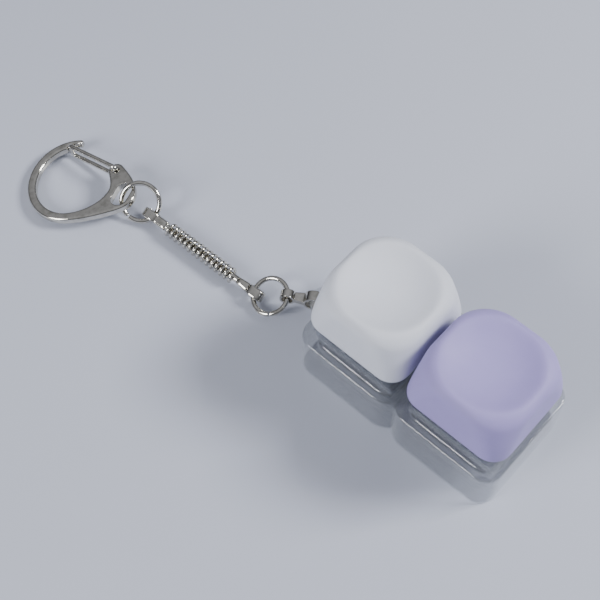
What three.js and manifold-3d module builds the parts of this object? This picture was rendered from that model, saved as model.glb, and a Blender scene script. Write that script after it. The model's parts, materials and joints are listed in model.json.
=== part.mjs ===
// Two-key fidget clicker on a chain: a clear two-cell base, two push switches
// with dished keycaps, a connector tag, two jump rings, a coil-sleeved link and
// a wire-gate snap clasp. Units are millimetres, +Z is up.
// The origin is the middle of the base's underside; +X runs along the key row,
// away from the chain, and the chain lies along -X.
import * as THREE from "three";
import { mergeVertices } from "three/addons/utils/BufferGeometryUtils.js";
import Module from "manifold-3d";

const wasm = await Module();
wasm.setup();

const PI = Math.PI;
const V = (x, y, z) => new THREE.Vector3(x, y, z);

// ---------------------------------------------------------------- dimensions
const KEY_PITCH = 19.05;          // between the two key centres
const KEY_X = [-KEY_PITCH / 2, KEY_PITCH / 2];

// clear base
const BASE_HALF_LENGTH = 19.2;
const BASE_HALF_WIDTH = 10.5;
const BASE_HEIGHT = 9.2;
const BASE_CORNER = 3.0;
const BASE_EDGE = 0.35;           // small bevel on the outer edges
const NOTCH_RADIUS = 4.7;         // arcs that meet in the valley between cells
const NOTCH_START = 3.2;
const FLOOR_TOP = 0.9;
const RECESS = 16.3;              // square step the switch flange sits in
const PLATE_TOP = 8.2;
const PLATE_UNDER = 6.7;
const CUTOUT = 14.2;              // square hole each switch drops into
const CELL_X = 16.2;              // hollow under the plate
const CELL_Y = 16.6;
const CELL_CORNER = 2.6;

// ear on the chain end of the base
const EAR_AT = V(-21.45, 0, 3.25);
const EAR_RADIUS = 2.8;
const EAR_HOLE = 1.4;
const EAR_HALF_THICKNESS = 0.95;
const EAR_EDGE = 0.6;
const EAR_ROOT_HALF = 3.7;

// keycaps
const CAP_SIDE = 18.4;
const CAP_BOTTOM = 13.3;
const CAP_HEIGHT = 8.7;
const CAP_CORNER = 3.3;
const CAP_TOP_ROUND = 3.0;
const CAP_TAPER = 0.95;           // top side as a share of the bottom side
const CAP_WALL = 1.15;
const CAP_HOLLOW = 5.6;
const DISH_RADIUS = 20;
const DISH_DEPTH = 2.0;
const BOSS_RADIUS = 2.75;
const BOSS_BOTTOM = 1.7;
const SOCKET_TOP = 5.4;

// switches, heights from the base's underside
const HOUSING = 13.8;
const FLANGE = 15.7;
const HOUSING_BOTTOM = 3.2;
const FLANGE_BOTTOM = 8.3;
const FLANGE_TOP = 9.3;
const HOUSING_FLOOR = 4.2;
const HOUSING_INNER = 12.2;
const UPPER_BOTTOM = 9.4;
const UPPER_TOP = 14.8;
const UPPER_SIDE = 14.9;
const UPPER_TAPER = 0.77;
const STEM_WINDOW = [7.6, 6.2];
const STEM_SLIDER = [6.9, 5.5];
const STEM_SKIRT = [9.0, 6.6];
const STEM_BOTTOM = 8.4;
const STEM_SHOULDER = 14.5;
const STEM_TOP = 18.4;
const CROSS_LONG = 3.9;
const CROSS_THIN = 1.15;
const SPRING_FROM = 4.5;
const SPRING_TO = 12.3;
const SPRING_RADIUS = 1.75;
const SPRING_WIRE = 0.19;
const SPRING_TURNS = 8;

// connector tag, from the ear to the base ring
const TAG_HEADING = V(-0.855, -0.518, 0);
const TAG_LOOP_AT = 2.1;
const TAG_LOOP_BORE = 1.35;
const TAG_STRIP = 0.4;
const TAG_WIDTH = 1.6;
const TAG_LENGTH = 6.56;
const EYE_BORE = 0.9;
const EYE_OUTER = 1.3;
const EYE_WIDTH = 1.3;

// jump rings: centre, plane normal, centreline radius, wire radius
const BASE_RING = { at: V(-29.6, -4.9, 2.3), normal: V(-0.10, -0.40, 0.91), radius: 3.1, wire: 0.43 };
const CLASP_RING = { at: V(-58.7, -6.4, 3.2), normal: V(0.3805, -0.596, 0.707), radius: 3.35, wire: 0.45 };
const RING_GAP_DEG = 5;
const BASE_RING_SPLIT = V(0.55, -0.83, 0);   // side each ring's cut faces
const CLASP_RING_SPLIT = V(0.1, -1, 0);

// coil-sleeved link, from its eye on the clasp ring to its eye on the base ring
const LINK_FROM = V(-55.75, -6.45, 1.62);
const LINK_TO = V(-32.55, -5.87, 1.6);
const LINK_EYE_AXIS = V(-0.05, 0.89, 0.45);
const LINK_EYE_REACH = 0.8;       // how far the slotted eye runs past the wire
const LINK_HEIGHT = 1.7;          // of the bars, seen from the side
const LINK_NEAR = { eye: 1.7, neck: 1.7 };   // widths at the clasp end
const LINK_BASE_END = { eye: 1.8, neck: 1.3 };
const LINK_BAR_LENGTH = 3.3;
const LINK_ROD = 0.62;
const COIL_FROM = 3.5;
const COIL_LENGTH = 15.5;
const COIL_RADIUS = 1.12;
const COIL_WIRE = 0.25;
const COIL_TURNS = 14.5;

// clasp, in its own plane: u from the ring slot to the far bend, v away from the gate
const CLASP_HOLE_WORLD = V(-61.7, -7.85, 3.61);
const CLASP_HEADING_DEG = -143.6;
const CLASP_PITCH_DEG = 9;
const CLASP_SLOT = { u: 0.7, v: 0.2, length: 4.4, width: 2.5, turn: 70.5 };
const LOOP = { u: 10.4, v: -3.2, radiusU: 7.3, radiusV: 7.9, halfWidth: 0.8 };
const STEP_DEG = -70;             // where the bend thins out to the nose
const NOSE_DEG = -93;
const NOSE_WIDTH = 1.0;
const HOOK_HALF_THICKNESS = 0.75;
const HOOK_EDGE = 0.35;
const PIVOT = { u: 2.6, v: -5.05, hole: 0.6, ear: 1.45, from: 215, to: 368 };
const GATE_END = { u: 11.9, v: -10.0 };
const GATE_WIRE = 0.42;
const GATE_HALF_SPAN = 1.3;
const GATE_TUCK = 0.35;

// ------------------------------------------------------------------- helpers
/** Turns one closed three.js geometry into a manifold solid. */
function solid(geometry) {
  const bare = new THREE.BufferGeometry();
  const source = geometry.index ? geometry.toNonIndexed() : geometry;
  bare.setAttribute("position", source.getAttribute("position").clone());
  const merged = mergeVertices(bare, 1e-5);
  const index = merged.index.array;
  const kept = [];
  for (let i = 0; i < index.length; i += 3) {
    const [a, b, c] = [index[i], index[i + 1], index[i + 2]];
    if (a !== b && b !== c && c !== a) kept.push(a, b, c);
  }
  return new wasm.Manifold(new wasm.Mesh({
    numProp: 3,
    vertProperties: new Float32Array(merged.getAttribute("position").array),
    triVerts: new Uint32Array(kept),
  }));
}

/** Wraps a finished solid as a named mesh with its own material. */
function piece(name, body, look) {
  const mesh = body.getMesh();
  const geometry = new THREE.BufferGeometry();
  geometry.setAttribute("position", new THREE.BufferAttribute(new Float32Array(mesh.vertProperties), 3));
  geometry.setIndex(new THREE.BufferAttribute(new Uint32Array(mesh.triVerts), 1));
  geometry.computeVertexNormals();
  const result = new THREE.Mesh(geometry, new THREE.MeshStandardMaterial(look));
  result.name = name;
  return result;
}

/** Rounded rectangle centred on (cx, cy). */
function roundedRect(w, d, r, cx = 0, cy = 0) {
  const s = new THREE.Shape();
  const x = w / 2 - r;
  const y = d / 2 - r;
  s.absarc(cx + x, cy - y, r, -PI / 2, 0, false);
  s.absarc(cx + x, cy + y, r, 0, PI / 2, false);
  s.absarc(cx - x, cy + y, r, PI / 2, PI, false);
  s.absarc(cx - x, cy - y, r, PI, 1.5 * PI, false);
  return s;
}

/** Upright prism of a shape between two heights. */
function prism(shape, z0, z1, curveSegments = 5) {
  const g = new THREE.ExtrudeGeometry(shape, { depth: z1 - z0, bevelEnabled: false, curveSegments });
  return g.translate(0, 0, z0);
}

/** Upright prism whose top and bottom edges are rounded inwards by edge. */
function softPrism(shape, z0, z1, edge, bevelSegments = 2, curveSegments = 5) {
  const g = new THREE.ExtrudeGeometry(shape, {
    depth: z1 - z0 - 2 * edge, bevelEnabled: true, bevelThickness: edge,
    bevelSize: edge, bevelOffset: -edge, bevelSegments, curveSegments,
  });
  return g.translate(0, 0, z0 + edge);
}

/** Scales x and y of a geometry along z, from 1 at z0 to top at z1. */
function taper(geometry, z0, z1, top) {
  const p = geometry.getAttribute("position");
  for (let i = 0; i < p.count; i++) {
    const t = (p.getZ(i) - z0) / (z1 - z0);
    const k = 1 + (top - 1) * THREE.MathUtils.clamp(t, -1, 2);
    p.setXY(i, p.getX(i) * k, p.getY(i) * k);
  }
  return geometry;
}

/** Polygon outline with equal sides, used as the section of a wire. */
function wireSection(radius, sides) {
  const points = [];
  for (let i = 0; i < sides; i++) {
    const a = (2 * PI * i) / sides;
    points.push(new THREE.Vector2(radius * Math.cos(a), radius * Math.sin(a)));
  }
  return new THREE.Shape(points);
}

/** Round wire swept along a curve, with flat ends. */
function wire(curve, radius, steps, sides = 8) {
  const options = { steps, bevelEnabled: false, extrudePath: curve };
  return new THREE.ExtrudeGeometry(wireSection(radius, sides), options);
}

/** Curve given by a function of t from 0 to 1. */
class Path extends THREE.Curve {
  constructor(at) {
    super();
    this.at = at;
  }

  getPoint(t, target = V(0, 0, 0)) {
    return target.copy(this.at(t));
  }
}

/** Straight runs joined by short bends of about the given radius. */
function bentPath(points, bend) {
  const path = new THREE.CurvePath();
  let from = points[0];
  for (let i = 1; i < points.length - 1; i++) {
    const corner = points[i];
    const into = corner.clone().add(points[i - 1].clone().sub(corner).setLength(bend));
    const out = corner.clone().add(points[i + 1].clone().sub(corner).setLength(bend));
    path.add(new THREE.LineCurve3(from, into));
    path.add(new THREE.QuadraticBezierCurve3(into, corner, out));
    from = out;
  }
  path.add(new THREE.LineCurve3(from, points[points.length - 1]));
  return path;
}

/** Cylinder lying along y, centred on (x, y, z). */
function pin(radius, width, x, y, z, sides = 20) {
  return new THREE.CylinderGeometry(radius, radius, width, sides).translate(x, y, z);
}

/** Matrix from a piece's own axes to the shared frame. */
function frame(origin, xAxis, yHint) {
  const x = xAxis.clone().normalize();
  const z = x.clone().cross(yHint).normalize();
  const y = z.clone().cross(x);
  return new THREE.Matrix4().makeBasis(x, y, z).setPosition(origin);
}

// ---------------------------------------------------------------- clear base
/** Outline of the two joined cells, with a valley on each long side. */
function baseOutline() {
  const s = new THREE.Shape();
  const x = BASE_HALF_LENGTH - BASE_CORNER;
  const y = BASE_HALF_WIDTH - BASE_CORNER;
  const n = BASE_HALF_WIDTH - NOTCH_RADIUS;
  const valley = Math.acos(NOTCH_START / NOTCH_RADIUS);
  s.absarc(-x, -y, BASE_CORNER, PI, 1.5 * PI, false);
  s.absarc(-NOTCH_START, -n, NOTCH_RADIUS, -PI / 2, -valley, false);
  s.absarc(NOTCH_START, -n, NOTCH_RADIUS, valley - PI, -PI / 2, false);
  s.absarc(x, -y, BASE_CORNER, -PI / 2, 0, false);
  s.absarc(x, y, BASE_CORNER, 0, PI / 2, false);
  s.absarc(NOTCH_START, n, NOTCH_RADIUS, PI / 2, PI - valley, false);
  s.absarc(-NOTCH_START, n, NOTCH_RADIUS, valley, PI / 2, false);
  s.absarc(-x, y, BASE_CORNER, PI / 2, PI, false);
  return s;
}

/** Flared tongue with a round hole that takes the connector tag. */
function earSolid() {
  const inside = 2.5 - BASE_HALF_LENGTH;
  const wall = 0.6 - BASE_HALF_LENGTH;
  const s = new THREE.Shape();
  s.moveTo(inside, EAR_ROOT_HALF);
  s.lineTo(wall, EAR_ROOT_HALF);
  s.quadraticCurveTo(wall - 1.2, EAR_RADIUS, EAR_AT.x, EAR_RADIUS);
  s.absarc(EAR_AT.x, EAR_AT.y, EAR_RADIUS, PI / 2, 1.5 * PI, false);
  s.quadraticCurveTo(wall - 1.2, -EAR_RADIUS, wall, -EAR_ROOT_HALF);
  s.lineTo(inside, -EAR_ROOT_HALF);
  const hole = new THREE.Path();
  hole.absarc(EAR_AT.x, EAR_AT.y, EAR_HOLE, 0, 2 * PI, true);
  s.holes.push(hole);
  const low = EAR_AT.z - EAR_HALF_THICKNESS;
  return solid(softPrism(s, low, EAR_AT.z + EAR_HALF_THICKNESS, EAR_EDGE, 2, 7));
}

/** The whole clear moulding: cells, ear and everything cut out of them. */
function baseSolid() {
  let body = solid(softPrism(baseOutline(), 0, BASE_HEIGHT, BASE_EDGE, 1, 6));
  body = body.add(earSolid());
  for (const x of KEY_X) {
    body = body.subtract(solid(prism(roundedRect(RECESS, RECESS, 0.9, x), PLATE_TOP, BASE_HEIGHT + 1, 3)));
    body = body.subtract(solid(prism(roundedRect(CUTOUT, CUTOUT, 0.5, x), PLATE_UNDER - 1, BASE_HEIGHT, 2)));
    const cell = roundedRect(CELL_X, CELL_Y, CELL_CORNER, x);
    body = body.subtract(solid(softPrism(cell, FLOOR_TOP, PLATE_UNDER, 0.8, 1, 4)));
  }
  return body;
}

// ------------------------------------------------------------------- keycaps
/** Cross-shaped bar, the fit between stem and cap. */
function cross(long, thin, z0, z1) {
  const a = solid(prism(roundedRect(long, thin, 0.12), z0, z1, 1));
  return a.add(solid(prism(roundedRect(thin, long, 0.12), z0, z1, 1)));
}

/** Hollow dished cap with its socket boss, standing at a key position. */
function capSolid(x) {
  const outerBlank = softPrism(
    roundedRect(CAP_SIDE, CAP_SIDE, CAP_CORNER), -CAP_TOP_ROUND, CAP_HEIGHT, CAP_TOP_ROUND, 6, 5);
  const outer = solid(taper(outerBlank, 0, CAP_HEIGHT, CAP_TAPER));
  const below = solid(new THREE.BoxGeometry(40, 40, 10).translate(0, 0, -5));
  const dishAt = CAP_HEIGHT + DISH_RADIUS - DISH_DEPTH;
  const dish = new THREE.SphereGeometry(DISH_RADIUS, 32, 44).rotateX(-PI / 2).translate(0, 0, dishAt);
  const hollowSide = CAP_SIDE - 2 * CAP_WALL;
  const hollowBlank = softPrism(roundedRect(hollowSide, hollowSide, 2.5), -3, CAP_HOLLOW, 1.8, 3, 4);
  const hollow = solid(taper(hollowBlank, 0, CAP_HEIGHT, CAP_TAPER));
  const boss = solid(
    new THREE.CylinderGeometry(BOSS_RADIUS, BOSS_RADIUS, CAP_HOLLOW + 0.6 - BOSS_BOTTOM, 24)
      .rotateX(PI / 2).translate(0, 0, (CAP_HOLLOW + 0.6 + BOSS_BOTTOM) / 2));
  const socket = cross(CROSS_LONG + 0.3, CROSS_THIN + 0.3, BOSS_BOTTOM - 1, SOCKET_TOP);
  const cap = outer.subtract(below).subtract(solid(dish)).subtract(hollow).add(boss).subtract(socket);
  return cap.translate([x, 0, CAP_BOTTOM]);
}

// ------------------------------------------------------------------ switches
/** Lower half of a switch: flanged tray with a spring post and two pin slots. */
function lowerHousing(x) {
  let body = solid(prism(roundedRect(HOUSING, HOUSING, 0.7), HOUSING_BOTTOM, FLANGE_BOTTOM + 0.2, 2));
  body = body.add(solid(prism(roundedRect(FLANGE, FLANGE, 0.8), FLANGE_BOTTOM, FLANGE_TOP, 3)));
  body = body.subtract(solid(prism(roundedRect(HOUSING_INNER, HOUSING_INNER, 0.6), HOUSING_FLOOR, 12, 2)));
  const peg = new THREE.CylinderGeometry(2, 2, 2.2, 20).rotateX(PI / 2);
  body = body.add(solid(peg.translate(0, 0, HOUSING_BOTTOM - 0.6)));
  const post = new THREE.CylinderGeometry(0.85, 1.15, 3.4, 14).rotateX(PI / 2);
  body = body.add(solid(post.translate(0, 0, HOUSING_FLOOR + 1.5)));
  for (const slot of CONTACT_PINS) {
    const cut = new THREE.BoxGeometry(slot.w + 0.4, 0.9, 3).translate(slot.x, slot.y, HOUSING_FLOOR - 0.5);
    body = body.subtract(solid(cut));
  }
  return body.translate([x, 0, 0]);
}

/** Upper half of a switch: tapered hood with a window for the stem. */
function upperHousing(x) {
  const outer = prism(roundedRect(UPPER_SIDE, UPPER_SIDE, 1.2), UPPER_BOTTOM, UPPER_TOP, 3);
  let body = solid(taper(outer, UPPER_BOTTOM, UPPER_TOP, UPPER_TAPER));
  const inner = prism(roundedRect(12.6, 12.6, 0.8), UPPER_BOTTOM - 1, UPPER_TOP - 1.1, 2);
  body = body.subtract(solid(taper(inner, UPPER_BOTTOM, UPPER_TOP, UPPER_TAPER)));
  const window = prism(roundedRect(STEM_WINDOW[0], STEM_WINDOW[1], 0.5), UPPER_TOP - 3, UPPER_TOP + 1, 2);
  return body.subtract(solid(window)).translate([x, 0, 0]);
}

/** Sliding stem: cross on top, slider, skirt and a bore for the spring. */
function stemSolid(x) {
  let body = solid(prism(roundedRect(STEM_SLIDER[0], STEM_SLIDER[1], 0.5), STEM_BOTTOM, STEM_SHOULDER, 2));
  body = body.add(solid(prism(roundedRect(STEM_SKIRT[0], STEM_SKIRT[1], 0.6), STEM_BOTTOM, 11.2, 2)));
  body = body.add(cross(CROSS_LONG, CROSS_THIN, STEM_SHOULDER - 0.3, STEM_TOP));
  const bore = new THREE.CylinderGeometry(2.4, 2.4, 6, 20).rotateX(PI / 2);
  return body.subtract(solid(bore.translate(0, 0, 12.6 - 3))).translate([x, 0, 0]);
}

/** Helical compression spring standing on the housing floor. */
function springSolid(x) {
  const height = SPRING_TO - SPRING_FROM - 2 * SPRING_WIRE;
  const helix = new Path((t) => {
    const a = 2 * PI * SPRING_TURNS * t;
    const z = SPRING_FROM + SPRING_WIRE + height * t;
    return V(SPRING_RADIUS * Math.cos(a), SPRING_RADIUS * Math.sin(a), z);
  });
  return solid(wire(helix, SPRING_WIRE, SPRING_TURNS * 10, 5)).translate([x, 0, 0]);
}

const CONTACT_PINS = [
  { name: "fixed_contact", x: -2.8, y: 5.3, w: 0.9, plate: 3.4, top: 9.0 },
  { name: "leaf_contact", x: 2.5, y: 4.5, w: 0.9, plate: 3.0, top: 8.2 },
];

/** Thin contact blade that narrows to a pin through the housing floor. */
function contactSolid(pinSpec, x) {
  const s = new THREE.Shape();
  const half = pinSpec.w / 2;
  const wide = pinSpec.plate / 2;
  s.moveTo(-half, 1.3);
  s.lineTo(half, 1.3);
  s.lineTo(half, HOUSING_FLOOR + 0.35);
  s.lineTo(wide, HOUSING_FLOOR + 0.9);
  s.lineTo(wide, pinSpec.top - 0.5);
  s.lineTo(wide - 0.5, pinSpec.top);
  s.lineTo(-wide + 0.5, pinSpec.top);
  s.lineTo(-wide, pinSpec.top - 0.5);
  s.lineTo(-wide, HOUSING_FLOOR + 0.9);
  s.lineTo(-half, HOUSING_FLOOR + 0.35);
  const g = new THREE.ExtrudeGeometry(s, { depth: 0.3, bevelEnabled: false });
  g.translate(0, 0, -0.15).rotateX(PI / 2);
  return solid(g.translate(pinSpec.x + x, pinSpec.y, 0));
}

// --------------------------------------------------------------------- chain
/** Folded strip tag: a wide loop round the ear and a small eye for the ring. */
function tagSolid() {
  const at = frame(EAR_AT, TAG_HEADING, V(TAG_HEADING.y, -TAG_HEADING.x, 0));
  let body = solid(pin(TAG_LOOP_BORE + TAG_STRIP, TAG_WIDTH, TAG_LOOP_AT, 0, 0, 28));
  body = body.add(solid(pin(EYE_OUTER, EYE_WIDTH, TAG_LENGTH, 0, 0, 24)));
  const waistFrom = TAG_LOOP_AT + TAG_LOOP_BORE + 0.15;
  const waistTo = TAG_LENGTH - EYE_BORE - 0.2;
  const waist = new THREE.BoxGeometry(waistTo - waistFrom, EYE_WIDTH, 1.0);
  body = body.add(solid(waist.translate((waistFrom + waistTo) / 2, 0, 0)));
  body = body.subtract(solid(pin(TAG_LOOP_BORE, 4, TAG_LOOP_AT, 0, 0, 28)));
  body = body.subtract(solid(pin(EYE_BORE, 4, TAG_LENGTH, 0, 0, 24)));
  return placed(body, at);
}

/** Moves a solid by a matrix. */
function placed(body, matrix) {
  return body.transform(matrix.toArray());
}

/** Split jump ring, with its cut facing the given side. */
function ringSolid(ring, split) {
  const normal = ring.normal.clone().normalize();
  const start = split.clone().projectOnPlane(normal).normalize();
  const side = normal.clone().cross(start);
  const gap = THREE.MathUtils.degToRad(RING_GAP_DEG);
  const arc = new Path((t) => {
    const a = gap / 2 + (2 * PI - gap) * t;
    const out = start.clone().multiplyScalar(ring.radius * Math.cos(a));
    return out.addScaledVector(side, ring.radius * Math.sin(a)).add(ring.at);
  });
  return solid(wire(arc, ring.wire, 40, 8));
}

/** Matrix of the link: x along it from the clasp-ring eye, y along the eyes. */
function linkFrame() {
  return frame(LINK_FROM, LINK_TO.clone().sub(LINK_FROM), LINK_EYE_AXIS);
}

/** Slotted eye and flared bar at one end of the link; side is 1 or -1. */
function linkEnd(x, side, widths) {
  const far = x - side * LINK_EYE_REACH;
  const eyeTo = x + side * 0.6;
  const eye = [x, far].map((at) => solid(pin(EYE_OUTER, widths.eye, at, 0, 0, 20)));
  const block = new THREE.BoxGeometry(LINK_EYE_REACH, widths.eye, 2 * EYE_OUTER);
  const flare = new THREE.Shape();
  flare.moveTo(eyeTo, -widths.eye / 2);
  flare.lineTo(x + side * LINK_BAR_LENGTH, -widths.neck / 2);
  flare.lineTo(x + side * LINK_BAR_LENGTH, widths.neck / 2);
  flare.lineTo(eyeTo, widths.eye / 2);
  const bar = softPrism(flare, -LINK_HEIGHT / 2, LINK_HEIGHT / 2, 0.35, 2);
  return eye[0].add(eye[1]).add(solid(block.translate((x + far) / 2, 0, 0))).add(solid(bar));
}

/** Core of the link: a rod with a slotted eye at each end. */
function linkCoreSolid() {
  const length = LINK_TO.distanceTo(LINK_FROM);
  const rod = new THREE.CylinderGeometry(LINK_ROD, LINK_ROD, length - 4, 14).rotateZ(PI / 2);
  let body = solid(rod.translate(length / 2, 0, 0));
  body = body.add(linkEnd(0, 1, LINK_NEAR)).add(linkEnd(length, -1, LINK_BASE_END));
  for (const [x, side] of [[0, 1], [length, -1]]) {
    const far = x - side * LINK_EYE_REACH;
    body = body.subtract(solid(pin(EYE_BORE, 4, x, 0, 0, 20))).subtract(solid(pin(EYE_BORE, 4, far, 0, 0, 20)));
    const slot = new THREE.BoxGeometry(LINK_EYE_REACH, 4, 2 * EYE_BORE * 0.995);
    body = body.subtract(solid(slot.translate((x + far) / 2, 0, 0)));
  }
  return placed(body, linkFrame());
}

/** Open-wound coil sleeved over the link's rod. */
function linkCoilSolid() {
  const length = COIL_LENGTH - 2 * COIL_WIRE;
  const helix = new Path((t) => {
    const a = 2 * PI * COIL_TURNS * t;
    const x = COIL_FROM + COIL_WIRE + length * t;
    return V(x, COIL_RADIUS * Math.cos(a), COIL_RADIUS * Math.sin(a));
  });
  return placed(solid(wire(helix, COIL_WIRE, Math.round(COIL_TURNS * 11), 5)), linkFrame());
}

// --------------------------------------------------------------------- clasp
/** Matrix of the clasp: x is u, y is v, z is its thickness. */
function claspFrame() {
  const h = THREE.MathUtils.degToRad(CLASP_HEADING_DEG);
  const p = THREE.MathUtils.degToRad(CLASP_PITCH_DEG);
  const u = V(Math.cos(h) * Math.cos(p), Math.sin(h) * Math.cos(p), -Math.sin(p));
  const v = V(-Math.sin(h), Math.cos(h), 0);
  const origin = CLASP_HOLE_WORLD.clone();
  origin.addScaledVector(u, -CLASP_SLOT.u).addScaledVector(v, -CLASP_SLOT.v);
  return frame(origin, u, v);
}

/** Outline of the hook: round bend, arm, web round the ring slot, pivot ear and nose. */
function hookShape() {
  const rad = THREE.MathUtils.degToRad;
  const outer = [LOOP.radiusU + LOOP.halfWidth, LOOP.radiusV + LOOP.halfWidth];
  const inner = [LOOP.radiusU - LOOP.halfWidth, LOOP.radiusV - LOOP.halfWidth];
  const lip = [outer[0] - NOSE_WIDTH, outer[1] - NOSE_WIDTH];
  const s = new THREE.Shape();
  s.absellipse(LOOP.u, LOOP.v, ...outer, rad(NOSE_DEG), PI / 2, false, 0);
  s.bezierCurveTo(8.2, LOOP.v + outer[1], 5.5, 4.9, 2.4, 3.9);
  s.bezierCurveTo(-0.2, 3.1, -1.8, 2.0, -1.8, 0.0);
  s.bezierCurveTo(-1.8, -1.9, -0.4, -4.0, 1.41, -5.88);
  s.absarc(PIVOT.u, PIVOT.v, PIVOT.ear, rad(PIVOT.from), rad(PIVOT.to), false);
  s.bezierCurveTo(3.8, -4.0, 3.15, -2.7, 3.2, -1.4);
  s.bezierCurveTo(3.3, 0.9, 6.6, 3.7, LOOP.u, LOOP.v + inner[1]);
  s.absellipse(LOOP.u, LOOP.v, ...inner, PI / 2, rad(STEP_DEG), true, 0);
  s.absellipse(LOOP.u, LOOP.v, ...lip, rad(STEP_DEG - 5), rad(NOSE_DEG), true, 0);
  return s;
}

/** Body of the clasp: the hook with the ring slot and the pivot hole cut through. */
function claspBodySolid() {
  let body = solid(softPrism(hookShape(), -HOOK_HALF_THICKNESS, HOOK_HALF_THICKNESS, HOOK_EDGE, 2, 16));
  const slot = prism(roundedRect(CLASP_SLOT.length, CLASP_SLOT.width, CLASP_SLOT.width / 2 - 0.01), -3, 3, 8);
  slot.rotateZ(THREE.MathUtils.degToRad(CLASP_SLOT.turn));
  body = body.subtract(solid(slot.translate(CLASP_SLOT.u, CLASP_SLOT.v, 0)));
  const hole = new THREE.CylinderGeometry(PIVOT.hole, PIVOT.hole, 6, 16).rotateX(PI / 2);
  body = body.subtract(solid(hole.translate(PIVOT.u, PIVOT.v, 0)));
  return placed(body, claspFrame());
}

/** U-shaped wire gate whose bent-in ends sit in the pivot hole. */
function claspGateSolid() {
  const points = [
    V(PIVOT.u, PIVOT.v, GATE_TUCK), V(PIVOT.u, PIVOT.v, GATE_HALF_SPAN),
    V(GATE_END.u, GATE_END.v, GATE_HALF_SPAN), V(GATE_END.u, GATE_END.v, -GATE_HALF_SPAN),
    V(PIVOT.u, PIVOT.v, -GATE_HALF_SPAN), V(PIVOT.u, PIVOT.v, -GATE_TUCK),
  ];
  return placed(solid(wire(bentPath(points, 0.7), GATE_WIRE, 64, 7)), claspFrame());
}

// ------------------------------------------------------------------ assembly
const STEEL = { color: 0xc9c8c4, metalness: 1.0, roughness: 0.22 };
const CLEAR = { color: 0xe8eef2, metalness: 0.0, roughness: 0.08, transparent: true, opacity: 0.3 };
const HOOD = { color: 0xdfe5ea, metalness: 0.0, roughness: 0.15, transparent: true, opacity: 0.45 };
const STEM = { color: 0xeceff2, metalness: 0.0, roughness: 0.4 };
const COPPER = { color: 0xc79a5a, metalness: 1.0, roughness: 0.35 };

const part = new THREE.Group();
part.name = "key_clicker_keychain";
part.add(piece("base_shell", baseSolid(), CLEAR));

const KEYS = [
  { name: "pale", x: KEY_X[0], color: 0xdcdee6 },
  { name: "lilac", x: KEY_X[1], color: 0xc3b9dd },
];
for (const key of KEYS) {
  const cap = { color: key.color, metalness: 0.0, roughness: 0.75 };
  part.add(piece(`${key.name}_keycap`, capSolid(key.x), cap));
  part.add(piece(`${key.name}_lower_housing`, lowerHousing(key.x), HOOD));
  part.add(piece(`${key.name}_upper_housing`, upperHousing(key.x), HOOD));
  part.add(piece(`${key.name}_stem`, stemSolid(key.x), STEM));
  part.add(piece(`${key.name}_return_spring`, springSolid(key.x), STEEL));
  for (const contact of CONTACT_PINS) {
    part.add(piece(`${key.name}_${contact.name}`, contactSolid(contact, key.x), COPPER));
  }
}

part.add(piece("connector_tag", tagSolid(), STEEL));
part.add(piece("base_ring", ringSolid(BASE_RING, BASE_RING_SPLIT), STEEL));
part.add(piece("link_core", linkCoreSolid(), STEEL));
part.add(piece("link_coil", linkCoilSolid(), STEEL));
part.add(piece("clasp_ring", ringSolid(CLASP_RING, CLASP_RING_SPLIT), STEEL));
part.add(piece("clasp_body", claspBodySolid(), STEEL));
part.add(piece("clasp_gate", claspGateSolid(), STEEL));

export default part;
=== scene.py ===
"""Looks of a fidget key clicker on a short plated chain.

Dished keycaps stand on push switches in a clear moulded base. A strip tag, a jump ring, a link with a
coil sleeve and a second jump ring lead to a snap clasp with a wire gate.

Lengths here are millimetres, and each mesh is turned into metres when its piece is finished. Places come
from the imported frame: the joints' anchors and axes and the boxes of the frame's nodes.
"""

import json
import logging
import math
from dataclasses import dataclass, field
from enum import Enum
from typing import Any, Sequence

import bpy
import numpy as np
from mathutils import Matrix, Vector

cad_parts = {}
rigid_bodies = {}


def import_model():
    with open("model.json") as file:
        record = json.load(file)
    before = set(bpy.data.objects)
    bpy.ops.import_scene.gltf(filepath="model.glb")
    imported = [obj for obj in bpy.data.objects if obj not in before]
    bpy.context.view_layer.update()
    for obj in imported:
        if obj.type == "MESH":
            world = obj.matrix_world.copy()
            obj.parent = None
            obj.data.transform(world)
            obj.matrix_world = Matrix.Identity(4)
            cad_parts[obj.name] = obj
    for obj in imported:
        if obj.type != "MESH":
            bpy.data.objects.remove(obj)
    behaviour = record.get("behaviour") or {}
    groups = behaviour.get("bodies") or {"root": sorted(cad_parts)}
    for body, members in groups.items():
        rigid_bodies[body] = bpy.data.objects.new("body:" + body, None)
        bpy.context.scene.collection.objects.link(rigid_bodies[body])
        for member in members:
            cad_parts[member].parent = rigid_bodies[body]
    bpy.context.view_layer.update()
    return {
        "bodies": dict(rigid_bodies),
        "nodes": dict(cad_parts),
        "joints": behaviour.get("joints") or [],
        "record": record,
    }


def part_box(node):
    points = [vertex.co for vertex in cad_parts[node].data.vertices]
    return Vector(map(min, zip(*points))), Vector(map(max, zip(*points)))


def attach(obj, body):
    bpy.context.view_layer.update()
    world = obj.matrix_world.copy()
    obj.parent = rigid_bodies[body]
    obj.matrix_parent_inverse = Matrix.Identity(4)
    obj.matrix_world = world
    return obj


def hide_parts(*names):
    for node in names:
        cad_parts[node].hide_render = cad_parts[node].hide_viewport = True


log = logging.getLogger("key_clicker")

MM = 0.001
UP = Vector((0.0, 0.0, 1.0))
SHARP_DEGREES = 32.0


# ------------------------------------------------------------------ node trees
def socket_of(sockets: Any, key: str | int) -> bpy.types.NodeSocket:
    """Finds a socket by position, identifier or name.

    Args:
        sockets: a node's inputs or outputs.
        key: position, identifier or name; an identifier wins over a name.

    Returns:
        The socket.
    """
    if isinstance(key, int):
        return sockets[key]
    for candidate in sockets:
        if candidate.identifier == key:
            return candidate
    return sockets[key]


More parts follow.
